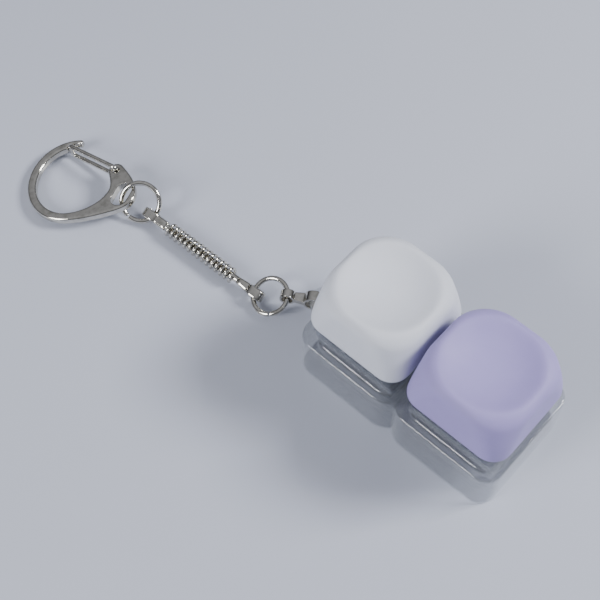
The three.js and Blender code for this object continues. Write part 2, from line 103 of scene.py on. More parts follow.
class Value:
    """An output socket that takes part in Python expressions."""

    def __init__(self, builder: "NodeBuilder", output: bpy.types.NodeSocket) -> None:
        """Wraps an output socket of a builder's tree."""
        self.builder = builder
        self.output = output

    def _math(self, operation: str, *operands: "Value | float", clamp: bool = False) -> "Value":
        """Adds one Math node with the given operands."""
        inputs = dict(enumerate(operands))
        node = self.builder.add("ShaderNodeMath", {"operation": operation, "use_clamp": clamp}, inputs)
        return Value(self.builder, node.outputs[0])

    def __add__(self, other: "Value | float") -> "Value":
        """Sum."""
        return self._math("ADD", self, other)

    __radd__ = __add__

    def __mul__(self, other: "Value | float") -> "Value":
        """Product."""
        return self._math("MULTIPLY", self, other)

    __rmul__ = __mul__

    def __sub__(self, other: "Value | float") -> "Value":
        """Difference."""
        return self._math("SUBTRACT", self, other)

    def __rsub__(self, other: "Value | float") -> "Value":
        """Difference from a number."""
        return self._math("SUBTRACT", other, self)

    def __pow__(self, exponent: float) -> "Value":
        """Power."""
        return self._math("POWER", self, exponent)

    def ramp(self, low: float, high: float) -> "Value":
        """Rises from 0 at low to 1 at high, held at both ends."""
        scaled = (self - low) * (1.0 / (high - low))
        return self._math("MULTIPLY", scaled, 1.0, clamp=True)


class NodeBuilder:
    """Adds nodes to one tree."""

    def __init__(self, tree: bpy.types.NodeTree) -> None:
        """Takes the tree to build in."""
        self.tree = tree

    def add(self, kind: str, settings: dict[str, Any] | None = None,
            inputs: dict[str | int, Any] | None = None) -> bpy.types.Node:
        """Adds one node.

        Args:
            kind: the node's type name.
            settings: properties, set before the sockets.
            inputs: a value or a link for each named socket.

        Returns:
            The new node.
        """
        node = self.tree.nodes.new(kind)
        for name, value in (settings or {}).items():
            setattr(node, name, value)
        for key, value in (inputs or {}).items():
            target = socket_of(node.inputs, key)
            if isinstance(value, Value):
                self.tree.links.new(value.output, target)
            elif isinstance(value, bpy.types.NodeSocket):
                self.tree.links.new(value, target)
            else:
                target.default_value = value
        return node


class Look(NodeBuilder):
    """A material under construction, with its patterns measured in millimetres."""

    def __init__(self, name: str) -> None:
        """Starts an empty material with object coordinates."""
        self.material = bpy.data.materials.new(name)
        self.material.use_nodes = True
        super().__init__(self.material.node_tree)
        self.tree.nodes.clear()
        self.output = self.add("ShaderNodeOutputMaterial")
        self.place = self.add("ShaderNodeTexCoord").outputs["Object"]

    def noise(self, size: float, detail: float = 2.0,
              stretch: Sequence[float] = (1.0, 1.0, 1.0)) -> Value:
        """Soft noise from 0 to 1.

        Args:
            size: typical feature size in millimetres.
            detail: octaves of finer noise.
            stretch: feature length along each axis as a multiple of size.

        Returns:
            The noise's value.
        """
        scale = [1.0 / (size * MM * s) for s in stretch]
        mapped = self.add("ShaderNodeMapping", {}, {"Vector": self.place, "Scale": scale})
        node = self.add("ShaderNodeTexNoise", {}, {
            "Vector": mapped.outputs[0], "Scale": 1.0, "Detail": detail, "Roughness": 0.55})
        return Value(self, socket_of(node.outputs, "Fac"))

    def specks(self, spacing: float, size: float) -> Value:
        """Small round specks, 1 inside and 0 outside.

        Args:
            spacing: mean distance between specks in millimetres.
            size: speck radius as a share of the spacing.

        Returns:
            The specks' mask.
        """
        node = self.add("ShaderNodeTexVoronoi", {}, {"Vector": self.place, "Scale": 1.0 / (spacing * MM)})
        return 1.0 - Value(self, socket_of(node.outputs, "Distance")).ramp(0.6 * size, size)

    def mix(self, factor: Value, first: Sequence[float], second: Sequence[float]) -> Value:
        """Blends two colours by a factor."""
        node = self.add("ShaderNodeMix", {"data_type": "RGBA"}, {
            "Factor_Float": factor, "A_Color": (*first, 1.0), "B_Color": (*second, 1.0)})
        return Value(self, socket_of(node.outputs, "Result_Color"))

    def bump(self, height: Value, distance: float, strength: float = 1.0) -> Value:
        """Turns a height from 0 to 1 into a normal; distance is its depth in millimetres."""
        node = self.add("ShaderNodeBump", {}, {
            "Height": height, "Distance": distance * MM, "Strength": strength})
        return Value(self, node.outputs[0])

    def surface(self, inputs: dict[str, Any]) -> bpy.types.Material:
        """Ends the material in a Principled shader with the given inputs."""
        shader = self.add("ShaderNodeBsdfPrincipled", {}, inputs)
        self.tree.links.new(shader.outputs[0], self.output.inputs["Surface"])
        return self.material


# -------------------------------------------------------------------- finishes
@dataclass(frozen=True)
class ClearPlastic:
    """Polished clear moulding: tinted see-through body with a gloss that grows towards its edges.

    Attributes:
        name: the material's name.
        tint: how much light one face lets through, in linear light.
        body: colour of the light that the plastic scatters, in linear light.
        haze: share of gloss on a face that is seen square on.
        roughness: roughness of a clean face.
        smear: extra roughness where the face is handled.
        ripple: depth of the moulding's flow ripples in millimetres.
        mirror: how much of the gloss is clean reflection.
    """

    name: str
    tint: tuple[float, float, float] = (0.978, 0.982, 0.988)
    body: tuple[float, float, float] = (0.82, 0.84, 0.87)
    haze: float = 0.10
    roughness: float = 0.03
    smear: float = 0.06
    ripple: float = 0.02
    mirror: float = 0.75

    def material(self) -> bpy.types.Material:
        """Builds the material."""
        look = Look(self.name)
        flow = look.noise(4.5, 1.0, (1.6, 1.0, 0.8))
        smudge = look.noise(2.2, 4.0).ramp(0.5, 0.85)
        motes = look.specks(2.6, 0.035)
        colour = look.mix(motes * 0.6, self.body, tuple(0.8 * c for c in self.body))
        normal = look.bump(flow, self.ripple)
        gloss = look.add("ShaderNodeBsdfPrincipled", {}, {
            "Base Color": colour, "Roughness": smudge * self.smear + self.roughness,
            "Metallic": self.mirror, "IOR": 1.5, "Normal": normal})
        clear = look.add("ShaderNodeBsdfTransparent", {}, {"Color": (*self.tint, 1.0)})
        grazing = look.add("ShaderNodeLayerWeight", {}, {"Blend": 0.5, "Normal": normal})
        facing = Value(look, socket_of(grazing.outputs, "Facing"))
        share = facing ** 3.0 * 0.9 + smudge * 0.03 + self.haze
        blend = look.add("ShaderNodeMixShader", {}, {0: share, 1: clear.outputs[0], 2: gloss.outputs[0]})
        look.tree.links.new(blend.outputs[0], look.output.inputs["Surface"])
        return look.material


@dataclass(frozen=True)
class MatteCap:
    """Moulded keycap plastic with a fine matte grain and slightly polished high spots.

    Attributes:
        name: the material's name.
        colour: main colour in linear light.
        shade: colour of the faint cloudy patches in linear light.
        glow: share of light that scatters inside the plastic.
    """

    name: str
    colour: tuple[float, float, float]
    shade: tuple[float, float, float]
    glow: float = 0.12

    def material(self) -> bpy.types.Material:
        """Builds the material."""
        look = Look(self.name)
        cloud = look.noise(6.0, 3.0).ramp(0.35, 0.7)
        grain = look.noise(0.11, 2.0)
        pits = look.specks(0.55, 0.16)
        handled = look.noise(3.5, 3.0).ramp(0.45, 0.75)
        height = grain * 0.8 - pits * 0.35
        return look.surface({
            "Base Color": look.mix(cloud * 0.7 + grain * 0.3, self.colour, self.shade),
            "Roughness": 0.62 - handled * 0.1 + grain * 0.08,
            "IOR": 1.5, "Subsurface Weight": self.glow, "Subsurface Scale": 0.6 * MM,
            "Subsurface Radius": (1.0, 0.9, 0.95), "Sheen Weight": 0.06, "Sheen Roughness": 0.5,
            "Normal": look.bump(height, 0.012, 0.6)})


@dataclass(frozen=True)
class SatinPlastic:
    """Smooth engineering plastic, as on a sliding stem.

    Attributes:
        name: the material's name.
        colour: colour in linear light.
    """

    name: str
    colour: tuple[float, float, float]

    def material(self) -> bpy.types.Material:
        """Builds the material."""
        look = Look(self.name)
        drag = look.noise(0.25, 3.0, (1.0, 1.0, 9.0))
        tone = look.noise(2.0, 2.0)
        return look.surface({
            "Base Color": look.mix(tone, self.colour, tuple(0.93 * c for c in self.colour)),
            "Roughness": drag * 0.2 + 0.3, "IOR": 1.5, "Normal": look.bump(drag, 0.004)})


@dataclass(frozen=True)
class PlatedMetal:
    """Bright plating over wire, strip or castings, with wear, smudges and fine scratches.

    Attributes:
        name: the material's name.
        colour: reflection colour in linear light.
        dull: reflection colour of the tarnished film in linear light.
        polish: lowest roughness.
        spread: how much rougher the dull patches are.
        waviness: depth of the hand-polished unevenness in millimetres.
    """

    name: str
    colour: tuple[float, float, float]
    dull: tuple[float, float, float]
    polish: float = 0.045
    spread: float = 0.09
    waviness: float = 0.006

    def material(self) -> bpy.types.Material:
        """Builds the material."""
        look = Look(self.name)
        film = look.noise(1.3, 4.0).ramp(0.42, 0.72)
        lengthwise = look.noise(0.09, 2.0, (14.0, 1.0, 1.0)).ramp(0.6, 0.75)
        crosswise = look.noise(0.08, 2.0, (1.0, 12.0, 3.0)).ramp(0.62, 0.78)
        scratches = lengthwise * 0.6 + crosswise * 0.4
        swell = look.noise(0.9, 2.0)
        height = swell - scratches * 0.12
        return look.surface({
            "Base Color": look.mix(film * 0.75 + scratches * 0.25, self.colour, self.dull),
            "Metallic": 1.0, "Roughness": film * self.spread + scratches * 0.1 + self.polish,
            "Normal": look.bump(height, self.waviness)})


@dataclass(frozen=True)
class TableTop:
    """Pale smooth table surface with a faint sheen.

    Attributes:
        name: the material's name.
        colour: colour in linear light.
        roughness: mean roughness.
    """

    name: str
    colour: tuple[float, float, float] = (0.49, 0.515, 0.605)
    roughness: float = 0.34

    def material(self) -> bpy.types.Material:
        """Builds the material."""
        look = Look(self.name)
        cloud = look.noise(55.0, 3.0)
        grain = look.noise(0.7, 2.0)
        return look.surface({
            "Base Color": look.mix(cloud, self.colour, tuple(0.95 * c for c in self.colour)),
            "Roughness": grain * 0.06 + self.roughness, "Specular IOR Level": 0.35,
            "Normal": look.bump(grain, 0.003)})


PLATE_LINEAR = (0.66, 0.64, 0.585)
PLATE_DULL = (0.40, 0.385, 0.34)
CLEAR_BASE = ClearPlastic("clear_base_plastic")
CLEAR_HOUSING = ClearPlastic("clear_switch_plastic", (0.93, 0.94, 0.96), (0.72, 0.74, 0.78), 0.18, 0.05)
PALE_CAP = MatteCap("pale_cap_plastic", (0.66, 0.68, 0.75), (0.63, 0.65, 0.725))
LILAC_CAP = MatteCap("lilac_cap_plastic", (0.345, 0.295, 0.60), (0.32, 0.27, 0.57))
STEM_PLASTIC = SatinPlastic("stem_plastic", (0.78, 0.79, 0.82))
NICKEL = PlatedMetal("nickel_plate", PLATE_LINEAR, PLATE_DULL)
SPRING_STEEL = PlatedMetal("drawn_spring_steel", (0.52, 0.52, 0.53), (0.40, 0.40, 0.41),
                           0.16, 0.16, 0.003)
CONTACT_BRASS = PlatedMetal("contact_sheet_brass", (0.62, 0.40, 0.20), (0.48, 0.27, 0.12),
                            0.2, 0.18, 0.004)


# ------------------------------------------------------------- outlines, solids
def arc(cx: float, cy: float, radius: float, start: float, end: float, points: int = 9) -> np.ndarray:
    """Points of a flat arc.

    Args:
        cx: centre along x.
        cy: centre along y.
        radius: radius of the arc.
        start: first angle in degrees.
        end: last angle in degrees.
        points: number of points, ends included.

    Returns:
        An array of points, one row each.
    """
    angles = np.radians(np.linspace(start, end, points))
    return np.stack([cx + radius * np.cos(angles), cy + radius * np.sin(angles)], axis=1)


def quadratic(start: Sequence[float], pull: Sequence[float], end: Sequence[float],
              points: int = 7) -> np.ndarray:
    """Points of a flat quadratic curve, without its first point."""
    t = np.linspace(0, 1, points)[1:, None]
    a, b, c = (np.asarray(p, dtype=float) for p in (start, pull, end))
    return (1 - t) ** 2 * a + 2 * t * (1 - t) * b + t ** 2 * c


def cubic(points: Sequence[Sequence[float]], count: int) -> np.ndarray:
    """Points of a flat cubic curve given by its four control points."""
    t = np.linspace(0, 1, count)[:, None]
    a, b, c, d = (np.asarray(p, dtype=float) for p in points)
    return (1 - t) ** 3 * a + 3 * t * (1 - t) ** 2 * b + 3 * t ** 2 * (1 - t) * c + t ** 3 * d


def rounded_rect(width: float, depth: float, radius: float, points: int = 9) -> np.ndarray:
    """Outline of a rectangle with round corners, centred on the origin."""
    x = width / 2 - radius
    y = depth / 2 - radius
    corners = [(x, -y, -90), (x, y, 0), (-x, y, 90), (-x, -y, 180)]
    return np.concatenate([arc(cx, cy, radius, a, a + 90, points) for cx, cy, a in corners])


def without_doubles(outline: np.ndarray) -> np.ndarray:
    """Drops points that repeat the one before them."""
    gap = np.linalg.norm(outline - np.roll(outline, 1, axis=0), axis=1)
    return outline[gap > 1e-4]


def inset(outline: np.ndarray, distance: float) -> np.ndarray:
    """Moves a counter-clockwise outline inwards, keeping its sides parallel.

    Args:
        outline: the outline's points.
        distance: how far each side moves in.

    Returns:
        The moved outline, with as many points.
    """
    before = outline - np.roll(outline, 1, axis=0)
    after = np.roll(outline, -1, axis=0) - outline
    normals = []
    for side in (before, after):
        unit = side / np.linalg.norm(side, axis=1, keepdims=True)
        normals.append(np.stack([-unit[:, 1], unit[:, 0]], axis=1))
    total = normals[0] + normals[1]
    share = distance * 2 / np.maximum((total ** 2).sum(axis=1, keepdims=True), 0.3)
    return outline + total * share


def level(outline: np.ndarray, z: float) -> np.ndarray:
    """Lifts a flat outline to a height."""
    return np.column_stack([outline, np.full(len(outline), z)])


class Shape:
    """A closed mesh under construction, in millimetres."""

    def __init__(self, points: np.ndarray, faces: Sequence[Sequence[int]]) -> None:
        """Makes the mesh from points and faces."""
        mesh = bpy.data.meshes.new("shape")
        mesh.from_pydata([tuple(p) for p in points], [], faces)
        self.object = bpy.data.objects.new("shape", mesh)
        bpy.context.scene.collection.objects.link(self.object)

    @classmethod
    def holding(cls, mesh: bpy.types.Mesh) -> "Shape":
        """Takes over a finished mesh."""
        shape = cls(np.zeros((0, 3)), [])
        shape._swap(mesh)
        return shape

    @classmethod
    def loft(cls, rings: Sequence[np.ndarray], low: Sequence[float] | None = None,
             high: Sequence[float] | None = None) -> "Shape":
        """Skins a stack of rings with equal numbers of points.

        Args:
            rings: rings from low to high, each counter-clockwise seen from the high end.
            low: pole that closes the low end, or None for a flat end.
            high: pole that closes the high end, or None for a flat end.

        Returns:
            The closed shape.
        """
        count = len(rings[0])
        points = [p for ring in rings for p in ring]
        faces: list[Sequence[int]] = []
        for k in range(len(rings) - 1):
            for i in range(count):
                j = (i + 1) % count
                faces.append((k * count + i, k * count + j, (k + 1) * count + j, (k + 1) * count + i))
        last = (len(rings) - 1) * count
        if low is None:
            faces.append(tuple(reversed(range(count))))
        else:
            points.append(low)
            pole = len(points) - 1
            faces.extend(((i + 1) % count, i, pole) for i in range(count))
        if high is None:
            faces.append(tuple(range(last, last + count)))
        else:
            points.append(high)
            pole = len(points) - 1
            faces.extend((last + i, last + (i + 1) % count, pole) for i in range(count))
        return cls(np.asarray(points, dtype=float), faces)

    @classmethod
    def prism(cls, outline: np.ndarray, z0: float, z1: float, edge: float = 0.0, steps: int = 4,
              top_scale: float = 1.0) -> "Shape":
        """Upright prism with rounded top and bottom edges.

        Args:
            outline: counter-clockwise outline.
            z0: lower height.
            z1: upper height.
            edge: radius of the rounded edges.
            steps: facets of each rounded edge.
            top_scale: size of the top as a share of the bottom.

        Returns:
            The closed shape.
        """
        bends = [k / steps * math.pi / 2 for k in range(steps + 1)] if edge else [math.pi / 2]
        low = [(edge * (1 - math.sin(a)), z0 + edge * (1 - math.cos(a))) for a in bends]
        high = [(d, z0 + z1 - z) for d, z in reversed(low)]
        rings = []
        for distance, z in low + high:
            scale = 1 + (top_scale - 1) * (z - z0) / (z1 - z0)
            rings.append(level(inset(outline, distance) * scale, z))
        return cls.loft(rings)

    @classmethod
    def cylinder(cls, radius: float, z0: float, z1: float, edge: float = 0.0, sides: int = 40,
                 top_radius: float | None = None) -> "Shape":
        """Upright cylinder or cone with rounded edges."""
        circle = arc(0, 0, radius, 0, 360 - 360 / sides, sides)
        return cls.prism(circle, z0, z1, edge, 3, (top_radius or radius) / radius)

    def _swap(self, mesh: bpy.types.Mesh) -> None:
        """Replaces the mesh by another."""
        old = self.object.data
        self.object.data = mesh
        bpy.data.meshes.remove(old)

    def modified(self, kind: str, **settings: Any) -> "Shape":
        """Applies one modifier with the given settings."""
        modifier = self.object.modifiers.new(kind.lower(), kind)
        for name, value in settings.items():
            setattr(modifier, name, value)
        graph = bpy.context.evaluated_depsgraph_get()
        mesh = bpy.data.meshes.new_from_object(self.object.evaluated_get(graph))
        self.object.modifiers.clear()
        self._swap(mesh)
        return self

    def _boolean(self, operation: str, others: Sequence["Shape"]) -> "Shape":
        """Joins or cuts by other shapes, which are used up."""
        for other in others:
            self.modified("BOOLEAN", operation=operation, solver="EXACT", object=other.object)
            other.discard()
        return self

    def cut(self, *others: "Shape") -> "Shape":
        """Cuts other shapes out of this one."""
        return self._boolean("DIFFERENCE", others)

    def join(self, *others: "Shape") -> "Shape":
        """Joins other shapes to this one."""
        return self._boolean("UNION", others)

    def bevel(self, width: float, segments: int = 2, degrees: float = 35.0) -> "Shape":
        """Rounds every edge sharper than an angle."""
        return self.modified("BEVEL", width=width, segments=segments, limit_method="ANGLE",
                             angle_limit=math.radians(degrees), use_clamp_overlap=True,
                             miter_outer="MITER_ARC")

    def cast(self, cell: float, passes: int) -> "Shape":
        """Melts the joints of a shape together as in a casting.

        Args:
            cell: size of the mesh's cells.
            passes: rounds of smoothing.

        Returns:
            This shape.
        """
        self.modified("REMESH", mode="VOXEL", voxel_size=cell, use_smooth_shade=True)
        return self.modified("SMOOTH", factor=0.5, iterations=passes)

    def moved(self, x: float = 0.0, y: float = 0.0, z: float = 0.0) -> "Shape":
        """Moves the shape."""
        self.object.data.transform(Matrix.Translation((x, y, z)))
        return self

    def placed(self, matrix: Matrix) -> "Shape":
        """Moves and turns the shape by a matrix."""
        self.object.data.transform(matrix)
        return self

    def discard(self) -> None:
        """Deletes the shape."""
        mesh = self.object.data
        bpy.data.objects.remove(self.object)
        bpy.data.meshes.remove(mesh)


def turned(axis: str, degrees: float) -> Matrix:
    """Rotation about a main axis."""
    return Matrix.Rotation(math.radians(degrees), 4, axis)


def frame_matrix(origin: Vector, x_axis: Vector, y_hint: Vector) -> Matrix:
    """Matrix from a piece's own axes to the shared frame.

    Args:
        origin: where the piece's origin goes.
        x_axis: direction of the piece's x axis.
        y_hint: direction close to the piece's y axis.

    Returns:
        The matrix, with square axes.
    """
    x = x_axis.normalized()
    z = x.cross(y_hint).normalized()
    y = z.cross(x)
    matrix = Matrix((x, y, z)).transposed().to_4x4()
    matrix.translation = origin
    return matrix


# -------------------------------------------------------------- geometry nodes
class PathKind(Enum):
    """How a wire's path is given."""

    POLYLINE = "polyline"
    HELIX = "helix"
    ARC = "arc"


@dataclass(frozen=True)
class WireTree:
    """Geometry-node tree that draws a round wire along a path.

    Attributes:
        kind: how the path is given.
    """

    kind: PathKind

    def _inputs(self) -> dict[str, str]:
        """Names and socket types of the tree's inputs."""
        sizes = {
            PathKind.POLYLINE: {"Bend Radius": "NodeSocketFloat"},
            PathKind.HELIX: {"Coil Radius": "NodeSocketFloat", "Height": "NodeSocketFloat",
                             "Turns": "NodeSocketFloat", "Steps": "NodeSocketInt"},
            PathKind.ARC: {"Ring Radius": "NodeSocketFloat", "Gap Angle": "NodeSocketFloat",
                           "Steps": "NodeSocketInt"},
        }[self.kind]
        common = {"Wire Radius": "NodeSocketFloat", "Sides": "NodeSocketInt",
                  "Finish": "NodeSocketMaterial"}
        return {"Geometry": "NodeSocketGeometry", **sizes, **common}

    def _path(self, nodes: NodeBuilder, given: Any) -> bpy.types.NodeSocket:
        """Adds the nodes that make the path and returns its curve."""
        if self.kind is PathKind.POLYLINE:
            curve = nodes.add("GeometryNodeMeshToCurve", {}, {"Mesh": given["Geometry"]})
            bends = nodes.add("GeometryNodeFilletCurve", {"mode": "POLY"}, {
                "Curve": curve.outputs[0], "Count": 10, "Radius": given["Bend Radius"],
                "Limit Radius": True})
            return bends.outputs[0]
        if self.kind is PathKind.HELIX:
            spiral = nodes.add("GeometryNodeCurveSpiral", {}, {
                "Resolution": given["Steps"], "Rotations": given["Turns"],
                "Start Radius": given["Coil Radius"], "End Radius": given["Coil Radius"],
                "Height": given["Height"]})
            return spiral.outputs[0]
        gap = given["Gap Angle"]
        sweep = nodes.add("ShaderNodeMath", {"operation": "SUBTRACT"}, {0: math.tau, 1: gap})
        start = nodes.add("ShaderNodeMath", {"operation": "MULTIPLY"}, {0: gap, 1: 0.5})
        bow = nodes.add("GeometryNodeCurveArc", {"mode": "RADIUS"}, {
            "Resolution": given["Steps"], "Radius": given["Ring Radius"],
            "Start Angle": start.outputs[0], "Sweep Angle": sweep.outputs[0]})
        return bow.outputs[0]

    def build(self) -> bpy.types.NodeTree:
        """Builds the tree, or returns the one built before."""
        name = f"wire_{self.kind.value}"
        if name in bpy.data.node_groups:
            return bpy.data.node_groups[name]
        tree = bpy.data.node_groups.new(name, "GeometryNodeTree")
        for label, socket_type in self._inputs().items():
            tree.interface.new_socket(label, in_out="INPUT", socket_type=socket_type)
        tree.interface.new_socket("Geometry", in_out="OUTPUT", socket_type="NodeSocketGeometry")
        nodes = NodeBuilder(tree)
        given = nodes.add("NodeGroupInput").outputs
        circle = nodes.add("GeometryNodeCurvePrimitiveCircle", {"mode": "RADIUS"}, {
            "Resolution": given["Sides"], "Radius": given["Wire Radius"]})
        skin = nodes.add("GeometryNodeCurveToMesh", {}, {
            "Curve": self._path(nodes, given), "Profile Curve": circle.outputs[0], "Fill Caps": True})
        real = nodes.add("GeometryNodeRealizeInstances", {}, {"Geometry": skin.outputs[0]})
        dressed = nodes.add("GeometryNodeSetMaterial", {}, {
            "Geometry": real.outputs[0], "Material": given["Finish"]})
        nodes.add("NodeGroupOutput", {}, {0: dressed.outputs[0]})
        return tree

    def wire(self, sizes: dict[str, Any], finish: bpy.types.Material,
             path: Sequence[Sequence[float]] = ()) -> Shape:
        """Runs the tree once and keeps its plain mesh.

        Args:
            sizes: a value for each of the tree's size inputs.
            finish: the wire's material.
            path: points of a polyline path.

        Returns:
            The wire as a shape.
        """
        carrier = bpy.data.meshes.new("path")
        carrier.from_pydata([tuple(p) for p in path], [(i, i + 1) for i in range(len(path) - 1)], [])
        holder = bpy.data.objects.new("path", carrier)
        bpy.context.scene.collection.objects.link(holder)
        modifier = holder.modifiers.new("wire", "NODES")
        modifier.node_group = self.build()
        for item in modifier.node_group.interface.items_tree:
            if item.in_out == "INPUT" and item.name in sizes:
                modifier[item.identifier] = sizes[item.name]
            elif item.in_out == "INPUT" and item.name == "Finish":
                modifier[item.identifier] = finish
        graph = bpy.context.evaluated_depsgraph_get()
        mesh = bpy.data.meshes.new_from_object(holder.evaluated_get(graph))
        bpy.data.objects.remove(holder)
        bpy.data.meshes.remove(carrier)
        return Shape.holding(mesh)


# ---------------------------------------------------------------------- pieces
@dataclass
class Workshop:
    """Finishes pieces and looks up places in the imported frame.

    Attributes:
        materials: finished materials by name.
    """

    frame: dict[str, Any]
    materials: dict[str, bpy.types.Material] = field(default_factory=dict)

    def material(self, finish: Any) -> bpy.types.Material:
        """Builds a finish's material once and returns it."""
        if finish.name not in self.materials:
            self.materials[finish.name] = finish.material()
        return self.materials[finish.name]

    def joint(self, name: str) -> dict[str, Any]:
        """Finds a joint of the frame by name."""
        return next(j for j in self.frame["joints"] if j["name"] == name)

    def anchor(self, name: str) -> Vector:
        """Anchor of a hinge in millimetres."""
        return Vector(self.joint(name)["pos_m"]) / MM

    def axis(self, name: str) -> Vector:
        """Axis of a joint."""
        return Vector(self.joint(name)["axis"]).normalized()

    def middle(self, node: str) -> Vector:
        """Middle of a node's box in millimetres."""
        low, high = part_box(node)
        return (Vector(low) + Vector(high)) / 2 / MM

    def finish(self, shape: Shape, name: str, finish: Any, body: str, slot: str,
               nodes: Sequence[str] = (), level_faces: bool = True) -> bpy.types.Object:
        """Turns a shape into a finished piece.

        Args:
            shape: the shape, in millimetres.
            name: the piece's name.
            finish: its finish.
            body: the body it rides on.
            slot: the record's material slot; not used.
            nodes: frame nodes that it stands for.
            level_faces: whether large flat faces keep flat shading beside rounded edges.

        Returns:
            The piece's object.
        """
        mesh = shape.object.data
        mesh.materials.clear()
        mesh.materials.append(self.material(finish))
        for polygon in mesh.polygons:
            polygon.use_smooth = True
            polygon.material_index = 0
        mesh.set_sharp_from_angle(angle=math.radians(SHARP_DEGREES))
        if level_faces:
            shape.modified("WEIGHTED_NORMAL", keep_sharp=True, weight=50)
        mesh = shape.object.data
        mesh.transform(Matrix.Scale(MM, 4))
        mesh.name = name
        piece = shape.object
        piece.name = name
        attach(piece, body)
        if nodes:
            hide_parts(*nodes)
        log.info("%s: %d faces on %s", name, len(mesh.polygons), body)
        return piece


@dataclass
class ClearBase:
    """The clear moulding: joined square cells with a waist, and the ear for the chain."""

    shop: Workshop
    half_length: float = 19.2
    half_width: float = 10.5
    height: float = 9.2
    corner: float = 3.0
    edge: float = 0.35
    notch_radius: float = 4.7
    notch_start: float = 3.2
    recess: float = 16.3
    recess_floor: float = 8.2
    plate_under: float = 6.7
    cutout: float = 14.2
    cell: tuple[float, float, float] = (16.2, 16.6, 2.6)
    floor_top: float = 0.9
    ear_radius: float = 2.8
    ear_hole: float = 1.4
    ear_half: float = 0.95
    ear_root_half: float = 3.7

    def outline(self) -> np.ndarray:
        """Outline of the moulding, counter-clockwise from the chain end."""
        x = self.half_length - self.corner
        y = self.half_width - self.corner
        n = self.half_width - self.notch_radius
        valley = math.degrees(math.acos(self.notch_start / self.notch_radius))
        r = self.notch_radius
        parts = [
            arc(-x, -y, self.corner, 180, 270, 13),
            arc(-self.notch_start, -n, r, -90, -valley, 9),
            arc(self.notch_start, -n, r, valley - 180, -90, 9),
            arc(x, -y, self.corner, -90, 0, 13), arc(x, y, self.corner, 0, 90, 13),
            arc(self.notch_start, n, r, 90, 180 - valley, 9),
            arc(-self.notch_start, n, r, valley, 90, 9),
            arc(-x, y, self.corner, 90, 180, 13)]
        return without_doubles(np.concatenate(parts))

    def ear(self) -> Shape:
        """Flared tongue with a round hole, at the chain end."""
        at = self.shop.anchor("tag_swivel")
        inside = 2.5 - self.half_length
        wall = 0.6 - self.half_length
        root, tip = self.ear_root_half, self.ear_radius
        outline = np.concatenate([
            [(inside, -root), (inside, root), (wall, root)],
            quadratic((wall, root), (wall - 1.2, tip), (at.x, tip)),
            arc(at.x, 0, tip, 90, 270, 25)[1:],
            quadratic((at.x, -tip), (wall - 1.2, -tip), (wall, -root))])
        body = Shape.prism(outline, at.z - self.ear_half, at.z + self.ear_half, 0.5, 5)
        return body.cut(Shape.cylinder(self.ear_hole, at.z - 3, at.z + 3, 0, 48).moved(at.x, at.y))

    def build(self) -> Shape:
        """Joins the ear to the moulding and hollows the cells."""
        body = Shape.prism(self.outline(), 0, self.height, self.edge, 4).join(self.ear())
        for node in ("pale_keycap", "lilac_keycap"):
            x = self.shop.middle(node).x
            width, depth, corner = self.cell
            body.cut(
                Shape.prism(rounded_rect(self.recess, self.recess, 0.9, 6),
                            self.recess_floor, self.height + 1).moved(x),
                Shape.prism(rounded_rect(self.cutout, self.cutout, 0.5, 4),
                            self.plate_under - 1, self.height).moved(x),
                Shape.prism(rounded_rect(width, depth, corner, 9),
                            self.floor_top, self.plate_under, 0.8, 5).moved(x))
        return body

    def dress(self, shape: Shape) -> None:
        """Finishes the moulding in clear plastic."""
        self.shop.finish(shape, "base_moulding", CLEAR_BASE, "base", "base_clear", ["base_shell"])


